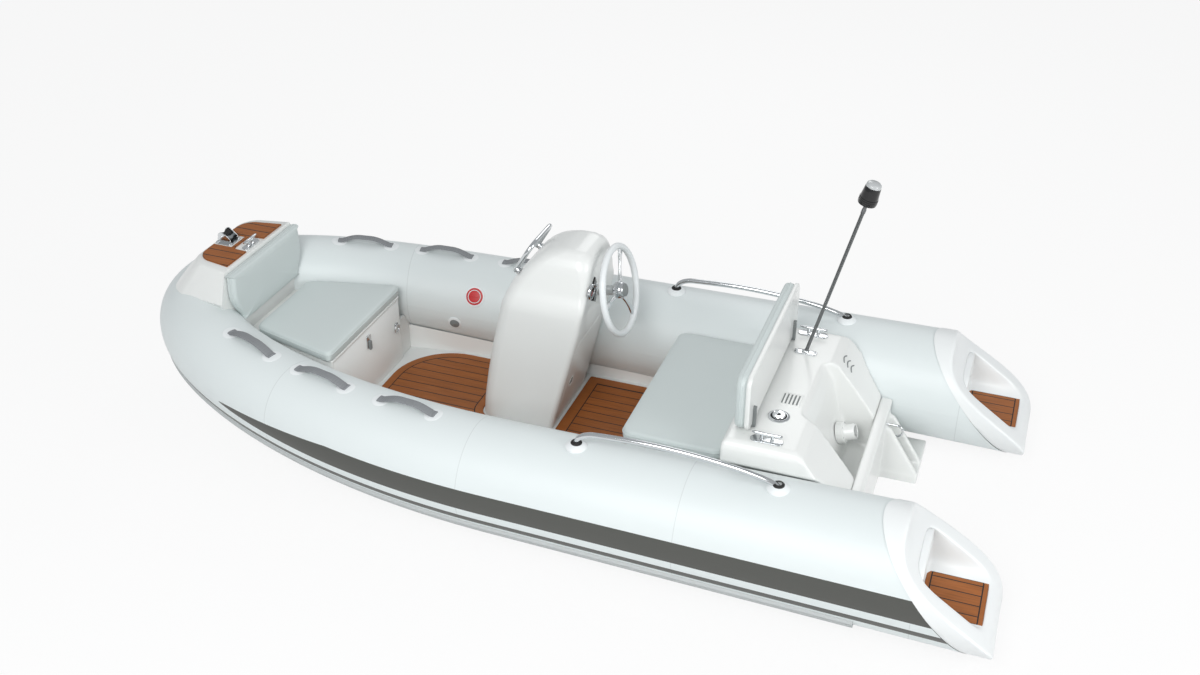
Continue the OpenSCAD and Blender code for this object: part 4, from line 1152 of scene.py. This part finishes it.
class RIB_OT_stern(Operator):
    """Builds the stern moulding and the fittings on it"""
    bl_idname = "rib.stern"
    bl_label = "Stern moulding"

    def execute(self, context):
        softened("stern_moulding_deck", "stern_moulding", "gelcoat", voxel=5, rounds=14)
        cap, vents, slots, boot = Shape(), Shape(), Shape(), Shape()
        place = Matrix.Translation((341, 224, STERN_Z))
        cap.lathe([(41, -3), (40, 3), (37, 5), (31, 5.4), (29, 3)], place, 56)
        cap.lathe([(29, 2), (28, 4), (27, 5), (25, 5)], place, 48, 1)
        cap.lathe([(25, 4), (24, 9), (22, 11), (9, 11.4), (8, 9), (0, 9)], place, 40)
        cap.slab(round_rect(-7, -2, 7, 2, 1.8), 9, 11.6, 0.5, place, 1)
        cap.done("fuel_filler_cap", "steel caulk", ["fuel_filler"])
        vents.slab(round_rect(278, 58, 357, 144, 8), 499.6, 501.2, 0.8)
        for x in range(286, 286 + 5 * 14, 14):
            vents.slab(round_rect(x, 66, x + 7, 136, 2.5), 501, 505, 1.6)
            # Mid grey strips in the gaps between the louvres are painted shade of the vent openings.
            vents.slab(round_rect(x + 7.5, 68, x + 13, 134, 2), 500.9, 501.5, 0.1, mat=1)
        vents.done("stern_louvres", "gelcoat grey", ["stern_vents"])
        # The drain slots are grey bars on the moulding: painted shade where the slots open.
        for i in range(3):
            xs = [162 + 16 * i + 6 * sin(pi * t / 8) for t in range(9)]
            slots.tube([(x, -262 - 6.5 * t, 421 + 1.2 * (x - 150)) for t, x in enumerate(xs)], 2.6, 8)
        slots.done("stern_drain_slots", "grey")
        aim = frame_at((150, -110, 250), lean_up(70), (0, 1, 0))
        boot.lathe([(44, -16), (44, 11), (42, 13), (34, 14), (32, 18), (32, 50), (30, 55), (26, 56), (24, 54),
                    (24, 14), (0, 13)], aim, 48)
        # Grey disc a little inside the bore: painted shade of the outlet's opening.
        boot.lathe([(23.8, 42), (20, 43), (0, 43)], aim, 40, 1)
        for c, s in circle(6):
            boot.lathe([(3.5, 0), (3.5, 1.5), (2, 2.2), (0, 2.2)],
                       aim @ Matrix.Translation((38.5 * c, 38.5 * s, 12.4)), 14, 2)
        boot.done("well_outlet_boot", "gelcoat grey steel", ["well_outlet"])
        return {"FINISHED"}


class RIB_OT_light(Operator):
    """Builds the all-round light on its pole"""
    bl_idname = "rib.light"
    bl_label = "Navigation light"

    def execute(self, context):
        place = frame_at((345, -240, 502), lean_up(14), (0, 1, 0))
        r = sizes().pole_diameter / MM / 2
        base = Shape().slab(round_rect(300, -256, 390, -224, 12), 500.3, 505, 1.6)
        base.lathe([(16, -1), (15, 5), (10, 9), (9, 12), (r + 0.2, 12)], place, 32)
        for x in (309, 381):
            base.lathe([(5, 0), (5, 1.4), (2.5, 2.6), (0, 2.6)], Matrix.Translation((x, -240, 505)), 18)
        base.done("light_socket", "steel", ["light_base"])
        pole = [(0, 0), (r, 0), (r, 650), (r + 1.5, 652), (r + 1.5, 668), (r, 670), (r, 692), (0, 692)]
        Shape().lathe(pole, place, 28).done("light_pole_tube", "pole", ["light_pole"])
        lamp = Shape()
        lamp.lathe([(8, 690), (20, 692), (34, 694), (35.4, 698), (33.5, 726), (31, 748), (29.5, 764),
                    (28, 767)],
                   place, 40)
        lamp.lathe([(28.6, 764), (29, 768), (27, 776), (22, 780), (0, 781)], place, 40, 1)
        for z in (704, 711, 718):
            lamp.lathe([(34.9, z), (35.8, z + 1), (34.6, z + 2)], place, 40)
        lamp.done("light_lamp_head", "black lens", ["light_lamp"])
        return {"FINISHED"}


def area_light(name, place, aim, size, power):
    data = bpy.data.lights.new(name, "AREA")
    data.shape, data.size, data.energy = "DISK", size, power
    obj = linked(name, data)
    obj.location = place
    obj.rotation_euler = (Vector(aim) - Vector(place)).to_track_quat("-Z", "Y").to_euler()


class RIB_OT_stage(Operator):
    """Sets up the floor at the waterline, the light and the camera"""
    bl_idname = "rib.stage"
    bl_label = "Stage"

    def execute(self, context):
        context.scene.view_settings.view_transform = "Standard"
        # Matt white paper: nearly white to the camera, but it keeps a soft shadow
        tree = Tree("floor")
        rays = tree.add("LightPath").node.outputs
        seen = tree.times(tree.math("MAXIMUM", rays["Is Camera Ray"], rays["Is Glossy Ray"]), 0.87)
        paper = tree.add("BsdfDiffuse", {"Color": [0.82] * 3})
        glow = tree.add("Emission", {"Color": [1] * 3, "Strength": 1.0})
        tree.add("OutputMaterial", {"Surface": tree.add("MixShader", {0: seen, 1: paper, 2: glow})})
        bm = bmesh.new()
        bmesh.ops.create_grid(bm, x_segments=1, y_segments=1, size=30)
        bmesh.ops.translate(bm, verts=bm.verts, vec=(1.2, 0, 0))
        mesh = bpy.data.meshes.new("floor")
        bm.to_mesh(mesh)
        bm.free()
        mesh.materials.append(tree.material)
        linked("floor", mesh)
        # Even daylight on the boat, plain white behind it
        world = context.scene.world = bpy.data.worlds.new("studio")
        world.use_nodes = True
        tree.tree = world.node_tree
        tree.tree.nodes.clear()
        camera_ray = tree.add("LightPath").node.outputs["Is Camera Ray"]
        light = tree.add("Background", {0: [0.96, 0.98, 1.0], 1: 0.5})
        white = tree.add("Background", {0: [1] * 3})
        tree.add("OutputWorld", {0: tree.add("MixShader", {0: camera_ray, 1: light, 2: white})})
        area_light("key", (0.9, 4.6, 4.0), (1.2, 0, 0.2), 3.0, 180)
        area_light("fill", (-4.2, 1.6, 2.6), (1.0, 0, 0.3), 2.6, 100)
        area_light("back", (1.5, -4.5, 3.6), (1.2, 0, 0.3), 2.4, 30)
        camera = bpy.data.cameras.new("camera")
        camera.sensor_width, camera.lens, camera.clip_start = 36, 39.0, 0.05
        eye = linked("camera", camera)
        eye.location = (-0.3905, 4.0930, 3.2262)
        eye.rotation_euler = Vector((0.2945, -0.7993, -0.5238)).to_track_quat("-Z", "Y").to_euler()
        context.scene.camera = eye
        return {"FINISHED"}


OPERATORS = (RIB_OT_collar, RIB_OT_strakes, RIB_OT_cones, RIB_OT_teak, RIB_OT_rails, RIB_OT_handles,
             RIB_OT_valves,
             RIB_OT_hull, RIB_OT_bow_seat, RIB_OT_bow_step, RIB_OT_deck_fittings, RIB_OT_console,
             RIB_OT_console_rail, RIB_OT_dash, RIB_OT_wheel, RIB_OT_aft_seat, RIB_OT_stern, RIB_OT_light,
             RIB_OT_stage)


class RIB_PT_panel(Panel):
    """Lists the pieces and their settings"""
    bl_label = "Inflatable tender"
    bl_idname = "RIB_PT_panel"
    bl_space_type = "VIEW_3D"
    bl_region_type = "UI"
    bl_category = "Tender"

    def draw(self, context):
        for group in (context.scene.rib_sizes, context.scene.rib_colours):
            for key in group.__annotations__:
                self.layout.prop(group, key)
        for operator in OPERATORS:
            self.layout.operator(operator.bl_idname)


CLASSES = (RIB_PG_sizes, RIB_PG_colours) + OPERATORS + (RIB_PT_panel,)


def register():
    for cls in CLASSES:
        bpy.utils.register_class(cls)
    bpy.types.Scene.rib_sizes = PointerProperty(type=RIB_PG_sizes)
    bpy.types.Scene.rib_colours = PointerProperty(type=RIB_PG_colours)


def unregister():
    del bpy.types.Scene.rib_colours
    del bpy.types.Scene.rib_sizes
    for cls in reversed(CLASSES):
        bpy.utils.unregister_class(cls)


def main():
    register()
    for operator in OPERATORS:
        getattr(bpy.ops.rib, operator.bl_idname.split(".")[1])()


if __name__ == "__main__":
    main()
